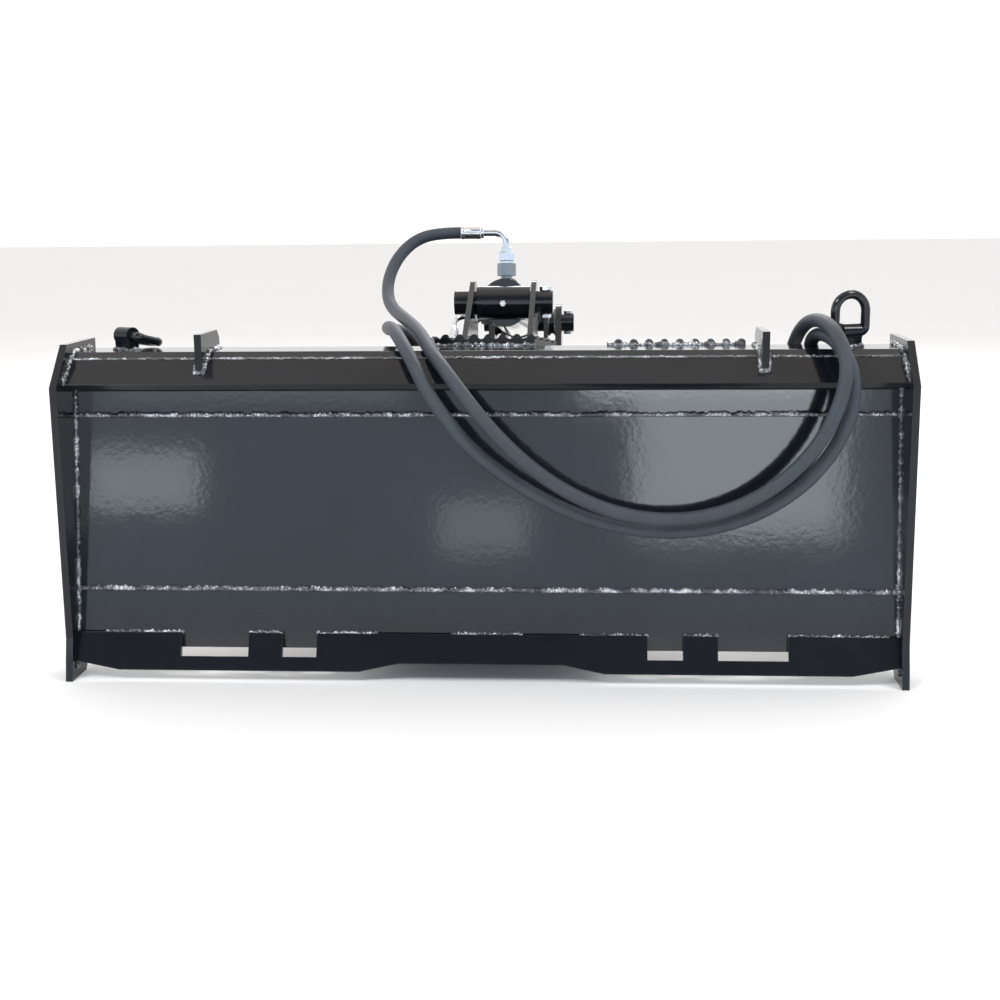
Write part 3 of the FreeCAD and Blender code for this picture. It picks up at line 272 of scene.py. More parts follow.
def gloss_enamel(name, lighten=1.0, extra_rough=0.0, edges=0.0012, ior=1.52):
    """Black gloss enamel: orange peel, dusty haze, and thinner paint that shines on the edges."""
    paint = bpy.context.scene.paint_settings
    colour = shaded(paint.body_colour, lighten)
    hazy, rubbed = shaded(colour, 1.55, 0.001), shaded(colour, 3.2, 0.012)
    dust_grey, speck_grey = (0.05, 0.05, 0.055), (0.25, 0.26, 0.28)
    material, tree, shader = new_material(name)
    where = object_coordinates(tree)
    cloud = noise(tree, where, scale=3.2, detail=5.0, rough=0.6)
    grain = noise(tree, where, scale=45.0, detail=4.0, rough=0.6)
    haze = ramp(tree, cloud, [(0.35, colour), (0.75, hazy)])
    dust = ramp(tree, grain, [(0.62, BLACK), (0.9, dust_grey)])
    worn = edge_mask(tree, radius=edges * 1.6, sharpness=1.4)
    base = mixed(tree, worn, haze, rubbed)
    speck = noise(tree, where, scale=420.0, detail=2.0)
    speckle = ramp(tree, speck, [(0.735, BLACK), (0.76, WHITE)])
    dusty = mixed(tree, times(tree, speckle, 0.10), base, speck_grey)
    feed(shader, "Base Color", mixed(tree, 0.12, dusty, dust))
    low = paint.gloss + extra_rough
    streaks = noise(tree, where, scale=7.0, detail=6.0, rough=0.65)
    feed(shader, "Roughness", spread(tree, streaks, low * 0.6, low * 1.7))
    ripple = noise(tree, where, scale=150.0, detail=2.0)
    swell = noise(tree, where, scale=34.0, detail=2.0)
    peel = plus(tree, ripple, times(tree, swell, 1.5))
    bumped(tree, shader, peel, paint.peel, distance=0.0022, under=edge_rounding(tree, edges))
    feed(shader, "IOR", ior)
    return material


def weld_enamel(name):
    """Enamel over rough weld metal: rippled, with bright bare metal patches whose light grey is a
    painted highlight for the beads' glints.
    """
    # The light grey of the bare patches is partly bare weld metal and partly a painted highlight
    # standing in for the beads' glints.
    dark, bare_glint_grey = shaded(bpy.context.scene.paint_settings.body_colour, 1.5), (0.62, 0.64, 0.68)
    material, tree, shader = new_material(name)
    where = object_coordinates(tree)
    fine = noise(tree, where, scale=620.0, detail=3.0, rough=0.6)
    broad = noise(tree, where, scale=190.0, detail=2.0)
    patch = noise(tree, where, scale=34.0, detail=3.0, rough=0.7)
    uneven = plus(tree, times(tree, fine, 0.45), times(tree, patch, 0.55))
    # Where the bare metal shows: metallic, in a light grey that is partly a painted highlight for
    # the glints.
    bare = ramp(tree, uneven, [(0.485, BLACK), (0.56, WHITE)])
    feed(shader, "Base Color", mixed(tree, bare, dark, bare_glint_grey))
    feed(shader, "Metallic", bare)
    feed(shader, "Roughness", spread(tree, broad, 0.05, 0.28))
    height = plus(tree, fine, times(tree, broad, 1.6))
    bumped(tree, shader, height, strength=0.65, distance=0.0016)
    feed(shader, "IOR", 1.55)
    feed(shader, "Coat Weight", 1.0)
    feed(shader, "Coat Roughness", 0.05)
    return material


def metal(name, colour, rough, grain_scale=(300.0, 300.0, 300.0), bump=0.05, stain=0.85):
    """Bare or plated metal with a fine grain and slight staining."""
    material, tree, shader = new_material(name)
    where = object_coordinates(tree)
    stretch = add(tree, "ShaderNodeMapping")
    feed(stretch, "Scale", grain_scale)
    feed(stretch, "Vector", where)
    grain = noise(tree, stretch.outputs["Vector"], scale=1.0, detail=4.0, rough=0.6)
    cloud = noise(tree, where, scale=60.0, detail=4.0, rough=0.6)
    feed(shader, "Base Color", ramp(tree, cloud, [(0.3, shaded(colour, stain)), (0.7, colour)]))
    feed(shader, "Roughness", spread(tree, grain, rough * 0.7, rough * 1.4))
    feed(shader, "Metallic", 1.0)
    bumped(tree, shader, grain, bump, distance=0.0005, under=edge_rounding(tree, 0.0006))
    return material


def hose_cover(name):
    """Rubber with the print of the cloth it was cured in, wound along the hose's own length."""
    hose = bpy.context.scene.hose_settings
    worn, plain, scuffed = shaded(hose.colour, 0.72), tuple(hose.colour), shaded(hose.colour, 1.7)
    material, tree, shader = new_material(name)
    split = add(tree, "ShaderNodeSeparateXYZ")
    feed(split, "Vector", add(tree, "ShaderNodeUVMap", uv_map="cover").outputs["UV"])
    around, along = split.outputs["X"], split.outputs["Y"]
    turns = 2 * math.pi / hose.wrap_pitch
    weft = math_node(tree, "SINE", times(tree, along, turns))
    warp = math_node(tree, "SINE", times(tree, around, turns))
    wound = times(tree, plus(tree, along, times(tree, around, 0.9)), 105.0)
    winding = math_node(tree, "ABSOLUTE", math_node(tree, "SINE", wound))
    seam = math_node(tree, "POWER", winding, 24.0)
    where = object_coordinates(tree)
    scuff = noise(tree, where, scale=24.0, detail=6.0, rough=0.65)
    tone = ramp(tree, scuff, [(0.32, worn), (0.62, plain), (0.86, scuffed)])
    feed(shader, "Base Color", tone)
    feed(shader, "Roughness", spread(tree, scuff, 0.42, 0.66))
    print_height = plus(tree, times(tree, times(tree, weft, warp), 0.35), times(tree, seam, 0.6))
    grain = noise(tree, where, scale=400.0, detail=2.0)
    height = plus(tree, print_height, times(tree, grain, 0.5))
    bumped(tree, shader, height, strength=0.35, distance=0.0006)
    return material


def moulded_rubber(name, colour):
    """Dull rubber with a fine, even grain."""
    material, tree, shader = new_material(name)
    fine = noise(tree, object_coordinates(tree), scale=350.0, detail=3.0, rough=0.6)
    feed(shader, "Base Color", ramp(tree, fine, [(0.3, shaded(colour, 0.7)), (0.8, colour)]))
    feed(shader, "Roughness", spread(tree, fine, 0.45, 0.65))
    bumped(tree, shader, fine, strength=0.2, distance=0.0005)
    return material


def worn_teeth(name):
    """Enamel that has been rubbed back to scratched steel at the tips and edges."""
    paint = tuple(bpy.context.scene.paint_settings.body_colour)
    steel = (0.23, 0.22, 0.21)
    material, tree, shader = new_material(name)
    patches = noise(tree, object_coordinates(tree), scale=34.0, detail=6.0, rough=0.7)
    rubbed = plus(tree, times(tree, patches, 0.75), edge_mask(tree, radius=0.004, sharpness=2.2))
    bare = ramp(tree, rubbed, [(0.52, BLACK), (0.6, WHITE)])
    feed(shader, "Base Color", mixed(tree, bare, paint, steel))
    feed(shader, "Metallic", spread(tree, bare, 0.0, 0.9))
    feed(shader, "Roughness", spread(tree, patches, 0.2, 0.5))
    bumped(tree, shader, patches, strength=0.2, distance=0.002, under=edge_rounding(tree, 0.0015))
    return material


def dress(node, material):
    """Puts one material on every slot of a CAD node."""
    for slot in NODES[node].material_slots:
        slot.material = material


class GRAPPLE_OT_finishes(bpy.types.Operator):
    """Gives every CAD piece its paint, plating or bare metal"""

    bl_idname = "grapple.finishes"
    bl_label = "Finishes"

    def execute(self, context):
        zinc = tuple(context.scene.paint_settings.zinc_colour)
        finishes = {
            "panel_enamel": gloss_enamel("panel_enamel"),
            "plate_enamel": gloss_enamel("plate_enamel", lighten=0.8, extra_rough=0.02, ior=1.40),
            "bucket_enamel": gloss_enamel("bucket_enamel", extra_rough=0.10),
            "cylinder_enamel": gloss_enamel(
                "cylinder_enamel", lighten=0.9, extra_rough=0.02, edges=0.0015
            ),
            "worn_steel": worn_teeth("worn_steel"),
            "black_pin": gloss_enamel("black_pin", lighten=0.9, extra_rough=0.06, edges=0.0008),
            "zinc_plate": metal("zinc_plate", zinc, rough=0.22),
            "phosphate": metal("phosphate", (0.24, 0.27, 0.30), rough=0.36),
            "hard_chrome": metal(
                "hard_chrome", (0.76, 0.77, 0.79), rough=0.07,
                grain_scale=(40.0, 900.0, 900.0), bump=0.02, stain=0.95,
            ),
            "turned_bronze": metal("turned_bronze", (0.56, 0.37, 0.16), rough=0.28),
            "grey_iron": metal("grey_iron", (0.30, 0.30, 0.31), rough=0.5, bump=0.15),
            "seal": moulded_rubber("seal", (0.02, 0.02, 0.022)),
        }
        groups = {
            "panel_enamel": ("panel_lower_strip", "panel_main", "panel_upper_strip"),
            "plate_enamel": (
                "top_lip", "top_plate", "bottom_flange", "end_plate_left", "end_plate_right",
                "outer_bars", "fin_left", "fin_right", "ring_clip_left", "ring_clip_right",
                "serrated_guard", "base_ear_left", "base_ear_right",
            ),
            "bucket_enamel": (
                "bucket_floor", "bucket_side_left", "bucket_side_right", "cheek_left",
                "cheek_right", "floor_skids", "bracket_deck", "deck_ribs", "pivot_bosses",
                "arm_plate_left", "arm_plate_right", "clevis_plate_left", "clevis_plate_right",
                "arm_braces", "lever_bosses", "hub_tube",
            ),
            "cylinder_enamel": ("cylinder_barrel", "cross_tube", "gland", "rod_eye"),
            "worn_steel": ("cutting_edge", "bucket_teeth", "claw_tips"),
            "black_pin": (
                "lift_ring_left", "lift_ring_right", "base_pin", "rod_pin", "pivot_pins",
            ),
            "zinc_plate": ("base_pin_bolt", "rod_pin_bolt", "grease_nipple", "piston_nut"),
            "phosphate": ("port_adapters",),
            "hard_chrome": ("piston_rod",),
            "turned_bronze": ("pivot_bushes",),
            "grey_iron": ("piston",),
            "seal": ("piston_seals", "rod_seal"),
        }
        for finish, names in groups.items():
            for node in names:
                dress(node, finishes[finish])
        return {"FINISHED"}


# -------------------- meshes


def show(name, mesh, body):
    """A piece that rides on a body, with its place in its mesh."""
    piece = bpy.data.objects.new(name, mesh)
    bpy.context.scene.collection.objects.link(piece)
    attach(piece, body)
    return piece


def mesh_piece(name, vertices, faces, material):
    """A smooth piece of the cylinder's plumbing, from its vertices and faces."""
    mesh = bpy.data.meshes.new(name)
    mesh.from_pydata([tuple(v) for v in vertices], [], faces)
    mesh.update()
    mesh.materials.append(material)
    for polygon in mesh.polygons:
        polygon.use_smooth = True
    return show(name, mesh, BARREL)


def path_frames(points):
    """At each point of a path: its place and two directions square to the path, without twist."""
    points = [Vector(p) for p in points]
    tangents = []
    for i in range(len(points)):
        before, after = points[max(i - 1, 0)], points[min(i + 1, len(points) - 1)]
        tangents.append((after - before).normalized())
    across = tangents[0].orthogonal().normalized()
    frames = []
    for point, tangent in zip(points, tangents):
        across = (across - tangent * across.dot(tangent)).normalized()
        frames.append((point, across, tangent.cross(across)))
    return frames


def tube_rings(points, radius, sides):
    """Rings of a round tube along a path."""
    angles = [2 * math.pi * i / sides for i in range(sides)]
    return [
        [point + (across * math.cos(a) + up * math.sin(a)) * radius for a in angles]
        for point, across, up in path_frames(points)
    ]


def skin(rings):
    """Faces between rings of equal count, with a flat cap at each end."""
    count = len(rings[0])
    vertices = [v for ring in rings for v in ring]
    faces = []
    for start in range(0, (len(rings) - 1) * count, count):
        for i in range(count):
            j = (i + 1) % count
            faces.append((start + i, start + j, start + count + j, start + count + i))
    faces.append(tuple(reversed(range(count))))
    last = (len(rings) - 1) * count
    faces.append(tuple(range(last, last + count)))
    return vertices, faces


def turned(place, profile, sides, shape=None, span=(0.0, 1.0)):
    """Skin for a profile of (along, radius) pairs about a placed Z axis.

    shape(angle) may scale the radius within a span, which gives hexagons and crimped flats.
    """
    rings = []
    for along, radius in profile:
        shaped = shape and span[0] < along < span[1]
        ring = []
        for i in range(sides):
            angle = 2 * math.pi * i / sides
            r = radius * (shape(angle) if shaped else 1.0)
            ring.append(place @ Vector((r * math.cos(angle), r * math.sin(angle), along)))
        rings.append(ring)
    return skin(rings)


def joined(parts):
    """Several (vertices, faces) lists as one."""
    vertices, faces = [], []
    for more_vertices, more_faces in parts:
        start = len(vertices)
        vertices += more_vertices
        faces += [tuple(i + start for i in face) for face in more_faces]
    return vertices, faces


# -------------------- hoses

# Control points of each hose's spline, from its port to its coupler.
BASE_POINTS = (
    (-0.0596, 0.4638, 0.6115), (-0.098, 0.4638, 0.6115), (-0.134, 0.456, 0.601),
    (-0.16, 0.43, 0.574), (-0.171, 0.393, 0.541), (-0.166, 0.347, 0.513),
    (-0.15, 0.296, 0.499), (-0.129, 0.24, 0.492), (-0.108, 0.179, 0.485),
    (-0.087, 0.115, 0.476), (-0.0676, 0.0583, 0.4565), (-0.0434, 0.0138, 0.4351),
    (-0.0158, -0.016, 0.4039), (0.0173, -0.0316, 0.3653), (0.0578, -0.0363, 0.3241),
    (0.1059, -0.0349, 0.2864), (0.1608, -0.0315, 0.2574), (0.22, -0.0289, 0.2409),
    (0.2801, -0.0281, 0.239), (0.3375, -0.0294, 0.2521), (0.3885, -0.032, 0.2785),
    (0.4303, -0.0343, 0.3153), (0.4611, -0.0337, 0.3581), (0.4803, -0.0268, 0.402),
    (0.4885, -0.0107, 0.4423), (0.483, 0.014, 0.47), (0.474, 0.049, 0.49),
    (0.462, 0.09, 0.496), (0.451, 0.131, 0.488), (0.443, 0.168, 0.464),
    (0.4379, 0.1996, 0.4241), (0.4324, 0.2209, 0.3604), (0.4297, 0.2359, 0.2843),
    (0.4291, 0.2502, 0.2046), (0.4295, 0.2707, 0.1307), (0.4299, 0.3023, 0.071),
    (0.4295, 0.3458, 0.031), (0.428, 0.3985, 0.0127), (0.425, 0.4574, 0.0157),
)
ROD_POINTS = (
    (-0.103, 0.7147, 0.413), (-0.103, 0.6869, 0.3935), (-0.1044, 0.6543, 0.3762),
    (-0.1081, 0.6174, 0.3656), (-0.1147, 0.577, 0.3667), (-0.1239, 0.5335, 0.3818),
    (-0.132, 0.487, 0.407), (-0.14, 0.436, 0.438), (-0.149, 0.379, 0.46),
    (-0.154, 0.317, 0.467), (-0.153, 0.251, 0.473), (-0.143, 0.185, 0.481),
    (-0.127, 0.122, 0.483), (-0.108, 0.068, 0.468), (-0.086, 0.024, 0.44),
    (-0.067, -0.001, 0.407), (-0.038, -0.014, 0.369), (-0.0033, -0.0163, 0.3277),
    (0.0504, -0.0141, 0.2861), (0.1105, -0.0102, 0.2515), (0.175, -0.0069, 0.2275),
    (0.241, -0.0054, 0.2167), (0.3051, -0.0055, 0.22), (0.3641, -0.0073, 0.2369),
    (0.4148, -0.0101, 0.2656), (0.4547, -0.013, 0.3031), (0.4822, -0.0138, 0.3455),
    (0.4973, -0.0094, 0.3884), (0.5, 0.004, 0.425), (0.492, 0.028, 0.453),
    (0.481, 0.061, 0.47), (0.47, 0.099, 0.476), (0.463, 0.139, 0.468),
    (0.4641, 0.1737, 0.4477), (0.4599, 0.2001, 0.4022), (0.4574, 0.2171, 0.3397),
    (0.4564, 0.2281, 0.2662), (0.4572, 0.2402, 0.1902), (0.4603, 0.2605, 0.1208),
    (0.4655, 0.2933, 0.0654), (0.4724, 0.3382, 0.0289), (0.4804, 0.3917, 0.0125),
    (0.4889, 0.45, 0.0157),
)
HOSES = {  # control points, and the length of the real hose
    "base": (BASE_POINTS, 2.216),
    "rod": (ROD_POINTS, 2.424),
}


def evaluated_mesh(holder):
    """What an object's curve or modifiers make, as a plain mesh."""
    graph = bpy.context.evaluated_depsgraph_get()
    return bpy.data.meshes.new_from_object(holder.evaluated_get(graph))


def hose_line(points):
    """Points along the hose's smooth spline, whose control points are the route's."""
    curve = bpy.data.curves.new("hose_route", "CURVE")
    curve.dimensions = "3D"
    spline = curve.splines.new("NURBS")
    spline.points.add(len(points) - 1)
    for control, point in zip(spline.points, points):
        control.co = (*point, 1.0)
    spline.order_u = 3
    spline.use_endpoint_u = True
    spline.resolution_u = 8
    holder = bpy.data.objects.new("hose_route", curve)
    bpy.context.scene.collection.objects.link(holder)
    mesh = evaluated_mesh(holder)
    line = [v.co.copy() for v in mesh.vertices]
    bpy.data.objects.remove(holder)
    bpy.data.curves.remove(curve)
    bpy.data.meshes.remove(mesh)
    return line


def map_cover(mesh, line, sides, girth):
    """A UV map in metres, round the hose and along it, for the print of the cloth."""
    distance = [0.0]
    for a, b in zip(line, line[1:]):
        distance.append(distance[-1] + (b - a).length)
    layer = mesh.uv_layers.new(name="cover")
    for polygon in mesh.polygons:
        loops = list(polygon.loop_indices)
        columns = [mesh.loops[k].vertex_index % sides for k in loops]
        wraps = max(columns) - min(columns) > 1
        for k, column in zip(loops, columns):
            row = mesh.loops[k].vertex_index // sides
            part = 1.0 if wraps and column == 0 else column / sides
            layer.data[k].uv = (part * girth, distance[row])


class GRAPPLE_OT_hoses(bpy.types.Operator):
    """Makes the two hydraulic hoses from their routes"""

    bl_idname = "grapple.hoses"
    bl_label = "Hoses"

    def execute(self, context):
        sides = context.scene.hose_settings.sides
        cover = hose_cover("hose_cover")
        radius = HOSE_DIAMETER / 2
        for name, (points, length) in HOSES.items():
            line = hose_line(points)
            vertices, faces = skin(tube_rings(line, radius, sides))
            piece = mesh_piece(f"hose_{name}_cover", vertices, faces, cover)
            map_cover(piece.data, line, sides, 2 * math.pi * radius)
            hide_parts(f"hose_{name}")
        return {"FINISHED"}


# -------------------- fittings

BASE_PIN = (0.014, 0.380, 0.504)
PIVOT, ROD_PIN = (0.950, 0.262), (1.020, 0.425)  # Y and Z
FALL = math.atan2(BASE_PIN[2] - ROD_PIN[1], ROD_PIN[0] - BASE_PIN[1])
BARREL_RADIUS = 0.038
BASE_PORT_RUN, ROD_PORT_RUN = 0.070, 0.398
ROD_PORT_TURN = 35

# Profiles of turned parts, as (along, radius) pairs from the port's face or the hose's end.
SWIVEL_COLLAR = ((0.0285, 0.003), (0.0285, 0.0106), (0.032, 0.0106), (0.032, 0.003))
STEM_SHOULDER = (
    (0.047, 0.003), (0.047, 0.0098), (0.0545, 0.0098), (0.0555, 0.0088), (0.0555, 0.003),
)
FERRULE = (
    (0.0, 0.005), (0.0, 0.0084), (0.0016, 0.0092), (0.0042, 0.0092), (0.0052, 0.0101),
    (0.0062, 0.0104), (0.0302, 0.0104), (0.0312, 0.0101), (0.0322, 0.0107), (0.0358, 0.0107),
    (0.0370, 0.0102), (0.0370, 0.0085),
)
COUPLER_FERRULE = (
    (0, 0.006), (0, 0.0108), (0.001, 0.0115), (0.026, 0.0115), (0.027, 0.0105),
    (0.034, 0.0105), (0.034, 0.006),
)
COUPLER_SLEEVE = (
    (0.046, 0.006), (0.046, 0.0122), (0.0475, 0.013), (0.0505, 0.013), (0.0505, 0.0118),
    (0.053, 0.0118), (0.053, 0.0128), (0.0745, 0.0128), (0.076, 0.0118), (0.076, 0.006),
)
DUST_CAP = (
    (0.0745, 0.005), (0.0745, 0.0105), (0.0755, 0.0112), (0.0865, 0.0112), (0.0885, 0.0098),
    (0.0889, 0.002),
)


def ram_point(run, lift=0.0):
    """A point on the cylinder's axis, lifted square to it."""
    along = Vector((0, math.cos(FALL), -math.sin(FALL)))
    square = Vector((0, math.sin(FALL), math.cos(FALL)))
    return Vector(BASE_PIN) + along * run + square * lift


def rotation(degrees, axis):
    """A turn about an axis, as a placement."""
    return Matrix.Rotation(math.radians(degrees), 4, axis)


def port_place(name):
    """A port face's placement: the base port on top of the barrel, the rod port on its left."""
    if name == "base":
        face = ram_point(BASE_PORT_RUN, BARREL_RADIUS)
        return Matrix.Translation(face) @ Matrix.Rotation(-FALL, 4, "X")
    face = ram_point(ROD_PORT_RUN) - Vector((BARREL_RADIUS, 0, 0))
    aside = rotation(ROD_PORT_TURN, "X") @ rotation(-90, "Y")
    return Matrix.Translation(face) @ aside @ rotation(90, "Z")


def hexagon(angle):
    """Scale of a hexagon's radius at an angle, 1 at its corners."""
    return math.cos(math.pi / 6) / math.cos((angle + math.pi / 6) % (math.pi / 3) - math.pi / 6)


def crimped(angle):
    """Eight shallow flats pressed into the ferrule by the crimping jaws."""
    return 1.0 - 0.045 * max(0.0, math.cos(8 * angle)) ** 6


def knurled(angle):
    """A fine knurl round the coupler's sliding sleeve."""
    return 1.0 + 0.018 * math.cos(26 * angle)


def nut(place, start, end, corner):
    """A hexagon whose ends are turned to a chamfer."""
    edge, chamfer, bore = 0.0012, corner * 0.90, corner * 0.2
    profile = (
        (start, bore), (start, chamfer), (start + edge, corner),
        (end - edge, corner), (end, chamfer), (end, bore),
    )
    return turned(place, profile, 72, hexagon)


def finish_edges(piece, sharp_angle=28.0):
    """Shades smooth except across sharp edges, and turns every face outwards."""
    work = bmesh.new()
    work.from_mesh(piece.data)
    bmesh.ops.recalc_face_normals(work, faces=work.faces)
    for edge in work.edges:
        edge.smooth = edge.calc_face_angle(0.0) < math.radians(sharp_angle)
    work.to_mesh(piece.data)
    work.free()


def bent_stem(place, corner, reach):
    """The stem's tube, which rises from the nut and turns square towards its hose."""
    start, bend, radius, steps = 0.052, 0.020, 0.006, 12
    line = [Vector((0, 0, start)), Vector((0, 0, corner - bend))]
    for step in range(1, steps):
        angle = math.pi / 2 * step / steps
        across, rise = bend * (1 - math.cos(angle)), bend * math.sin(angle)
        line.append(Vector((-across, 0, corner - bend + rise)))
    line += [Vector((-bend, 0, corner)), Vector((-reach - 0.003, 0, corner))]
    return skin([[place @ point for point in ring] for ring in tube_rings(line, radius, 28)])


def fitting(name, material):
    """A swivel nut, its collar, the bent stem and the crimped ferrule."""
    place = port_place(name)
    corner, reach = 0.079, 0.0366
    out = place @ Matrix.Translation((-reach, 0, corner)) @ rotation(-90, "Y")
    vertices, faces = joined([
        nut(place, start=0.032, end=0.047, corner=0.0132),
        turned(place, STEM_SHOULDER, 40),
        turned(place, SWIVEL_COLLAR, 40),
        bent_stem(place, corner, reach),
        turned(out, FERRULE, 96, crimped, span=(0.0055, 0.0305)),
    ])
    piece = mesh_piece(f"hose_end_{name}_fitting", vertices, faces, material)
    finish_edges(piece)
    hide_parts(f"hose_end_{name}")


class GRAPPLE_OT_fittings(bpy.types.Operator):
    """Makes the crimped hose ends on the cylinder's two ports"""

    bl_idname = "grapple.fittings"
    bl_label = "Hose ends"

    def execute(self, context):
        zinc = bpy.data.materials["zinc_plate"]
        for name in ("base", "rod"):
            fitting(name, zinc)
        return {"FINISHED"}


class GRAPPLE_OT_couplers(bpy.types.Operator):
    """Makes the quick couplers on the hoses' far ends, each with its dust cap"""

    bl_idname = "grapple.couplers"
    bl_label = "Quick couplers"

    def execute(self, context):
        zinc = bpy.data.materials["zinc_plate"]
        red_rubber = moulded_rubber("dust_cap", (0.22, 0.022, 0.018))
        for name, (points, _) in HOSES.items():
            end, before = Vector(points[-1]), Vector(points[-2])
            way = (end - before).normalized().to_track_quat("Z", "Y")
            place = Matrix.Translation(end) @ way.to_matrix().to_4x4()
            vertices, faces = joined([
                turned(place, COUPLER_FERRULE, 64, crimped, span=(0.0009, 0.0262)),
                nut(place, start=0.033, end=0.047, corner=0.0139),
                turned(place, COUPLER_SLEEVE, 104, knurled, span=(0.0529, 0.075)),
            ])
            piece = mesh_piece(f"coupler_{name}", vertices, faces, zinc)
            finish_edges(piece)
            vertices, faces = turned(place, DUST_CAP, 48)
            cap = mesh_piece(f"coupler_cap_{name}", vertices, faces, red_rubber)
            finish_edges(cap)
            cap.parent = piece
            cap.matrix_parent_inverse = Matrix.Identity(4)
            if name == "base":
                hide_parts("hose_couplers")
        return {"FINISHED"}


# -------------------- weld beads


def bead_tree():
    """Geometry nodes: ripples of weld metal laid along each edge run of the input mesh."""
    tree = bpy.data.node_groups.new("Weld bead", "GeometryNodeTree")
    face = tree.interface
    face.new_socket("Geometry", in_out="INPUT", socket_type="NodeSocketGeometry")
    for name, value in (("Width", 0.008), ("Ripple", 0.0036), ("Unevenness", 0.35)):
        socket = face.new_socket(name, in_out="INPUT", socket_type="NodeSocketFloat")
        socket.default_value = value
    face.new_socket("Seed", in_out="INPUT", socket_type="NodeSocketInt")
    face.new_socket("Material", in_out="INPUT", socket_type="NodeSocketMaterial")
    face.new_socket("Geometry", in_out="OUTPUT", socket_type="NodeSocketGeometry")
    given = add(tree, "NodeGroupInput").outputs
    made = add(tree, "NodeGroupOutput")

    line = add(tree, "GeometryNodeMeshToCurve")
    feed(line, "Mesh", given["Geometry"])
    evenly = add(tree, "GeometryNodeResampleCurve", mode="LENGTH")
    feed(evenly, "Curve", line.outputs["Curve"])
    feed(evenly, "Length", given["Ripple"])

    drop = add(tree, "GeometryNodeMeshIcoSphere")
    feed(drop, "Radius", 0.5)
    feed(drop, "Subdivisions", 2)
    align = add(tree, "FunctionNodeAlignRotationToVector", axis="X")
    feed(align, "Vector", add(tree, "GeometryNodeInputTangent").outputs["Tangent"])
    uneven = add(tree, "FunctionNodeRandomValue", data_type="FLOAT_VECTOR")
    feed(uneven, 0, math_node(tree, "SUBTRACT", 1.0, given["Unevenness"]))
    feed(uneven, 1, math_node(tree, "ADD", 1.0, given["Unevenness"]))
    feed(uneven, "Seed", given["Seed"])
    grown = add(tree, "ShaderNodeVectorMath", operation="SCALE")
    feed(grown, 0, uneven.outputs[0])
    feed(grown, "Scale", given["Width"])

    stray = 0.0009
    shift = add(tree, "FunctionNodeRandomValue", data_type="FLOAT_VECTOR")
    feed(shift, 0, (-stray,) * 3)
    feed(shift, 1, (stray,) * 3)
    feed(shift, "Seed", given["Seed"])
    offset = add(tree, "GeometryNodeSetPosition")
    feed(offset, "Geometry", evenly.outputs["Curve"])
    feed(offset, "Offset", shift.outputs[0])

    laid = add(tree, "GeometryNodeInstanceOnPoints")
    feed(laid, "Points", offset.outputs["Geometry"])
    feed(laid, "Instance", drop.outputs["Mesh"])
    feed(laid, "Rotation", align.outputs["Rotation"])
    feed(laid, "Scale", grown.outputs["Vector"])
    whole = add(tree, "GeometryNodeRealizeInstances")
    feed(whole, "Geometry", laid.outputs["Instances"])
    smooth = add(tree, "GeometryNodeSetShadeSmooth")
    feed(smooth, "Geometry", whole.outputs["Geometry"])
    painted = add(tree, "GeometryNodeSetMaterial")
    feed(painted, "Geometry", smooth.outputs["Geometry"])
    feed(painted, "Material", given["Material"])
    feed(made, "Geometry", painted.outputs["Geometry"])
    return tree


def set_input(modifier, name, value):
    """Sets a geometry nodes input by its socket's identifier."""
    for item in modifier.node_group.interface.items_tree:
        if item.item_type == "SOCKET" and item.in_out == "INPUT" and item.name == name:
            modifier[item.identifier] = value
            return
    raise ValueError(f"no input named {name}")


def lay_beads(tree, name, runs, body, material, width, ripple, seed, uneven):
    """One mesh of weld beads along several runs of points."""
    mesh = bpy.data.meshes.new(name + "_runs")
    vertices, edges = [], []
    for run in runs:
        start = len(vertices)
        vertices += [tuple(p) for p in run]
        edges += [(start + i, start + i + 1) for i in range(len(run) - 1)]
    mesh.from_pydata(vertices, edges, [])
    guide = bpy.data.objects.new(name + "_runs", mesh)
    bpy.context.scene.collection.objects.link(guide)
    modifier = guide.modifiers.new("Weld bead", "NODES")
    modifier.node_group = tree
    inputs = {
        "Width": width, "Ripple": ripple, "Unevenness": uneven, "Seed": seed, "Material": material,
    }
    for key, value in inputs.items():
        set_input(modifier, key, value)
    guide.update_tag()
    bpy.context.view_layer.update()
    shown = evaluated_mesh(guide)
    guide.modifiers.remove(modifier)
    bpy.data.objects.remove(guide)
    shown.name = name
    show(name, shown, body)


# Where the welds lie. A pair is (Y, Z) on the bucket's long section; X is given apart.
PLATE_TOP = 0.4565
PLATE_FRONT_EDGE = (0.1495, PLATE_TOP)
PANEL_THICKNESS, DECK_THICKNESS = 0.0085, 0.011
SEAM_END, SEAM_HEIGHTS = 0.5735, (0.125, 0.368)
LIP_JOINT, FOOT_TOE = (0.0625, 0.4475), (0.0262, 0.0628)
STITCHES = (
    (-0.537, -0.4265), (-0.3275, -0.283), (-0.231, -0.148), (-0.040, 0.055), (0.140, 0.2295),
    (0.283, 0.327), (0.428, 0.562),
)
END_PLATE_FACE = 0.5755
LIP_AT_END = ((0.024, 0.4185), (0.061, 0.447), (0.078, 0.4568))
FOOT_AT_END = ((0.009, 0.016), (0.0258, 0.060))
TOP_AT_END = ((0.078, 0.4568), (0.148, 0.4568))
FIN_FACES = (0.3822, 0.3930)
FIN_FOOT = ((0.0395, 0.4296), (0.062, 0.4475), (0.078, PLATE_TOP), (0.141, PLATE_TOP))
FIN_REAR, FIN_FRONT = (0.0392, 0.430), (0.141, PLATE_TOP)
CLIPS = ((-0.510, -32), (0.510, 17))
CLIP_Y, CLIP_HALF_LENGTH, CLIP_HALF_WIDTH = 0.114, 0.0138, 0.0105
EAR_FACES = (-0.0380, -0.0300, 0.0580, 0.0660)
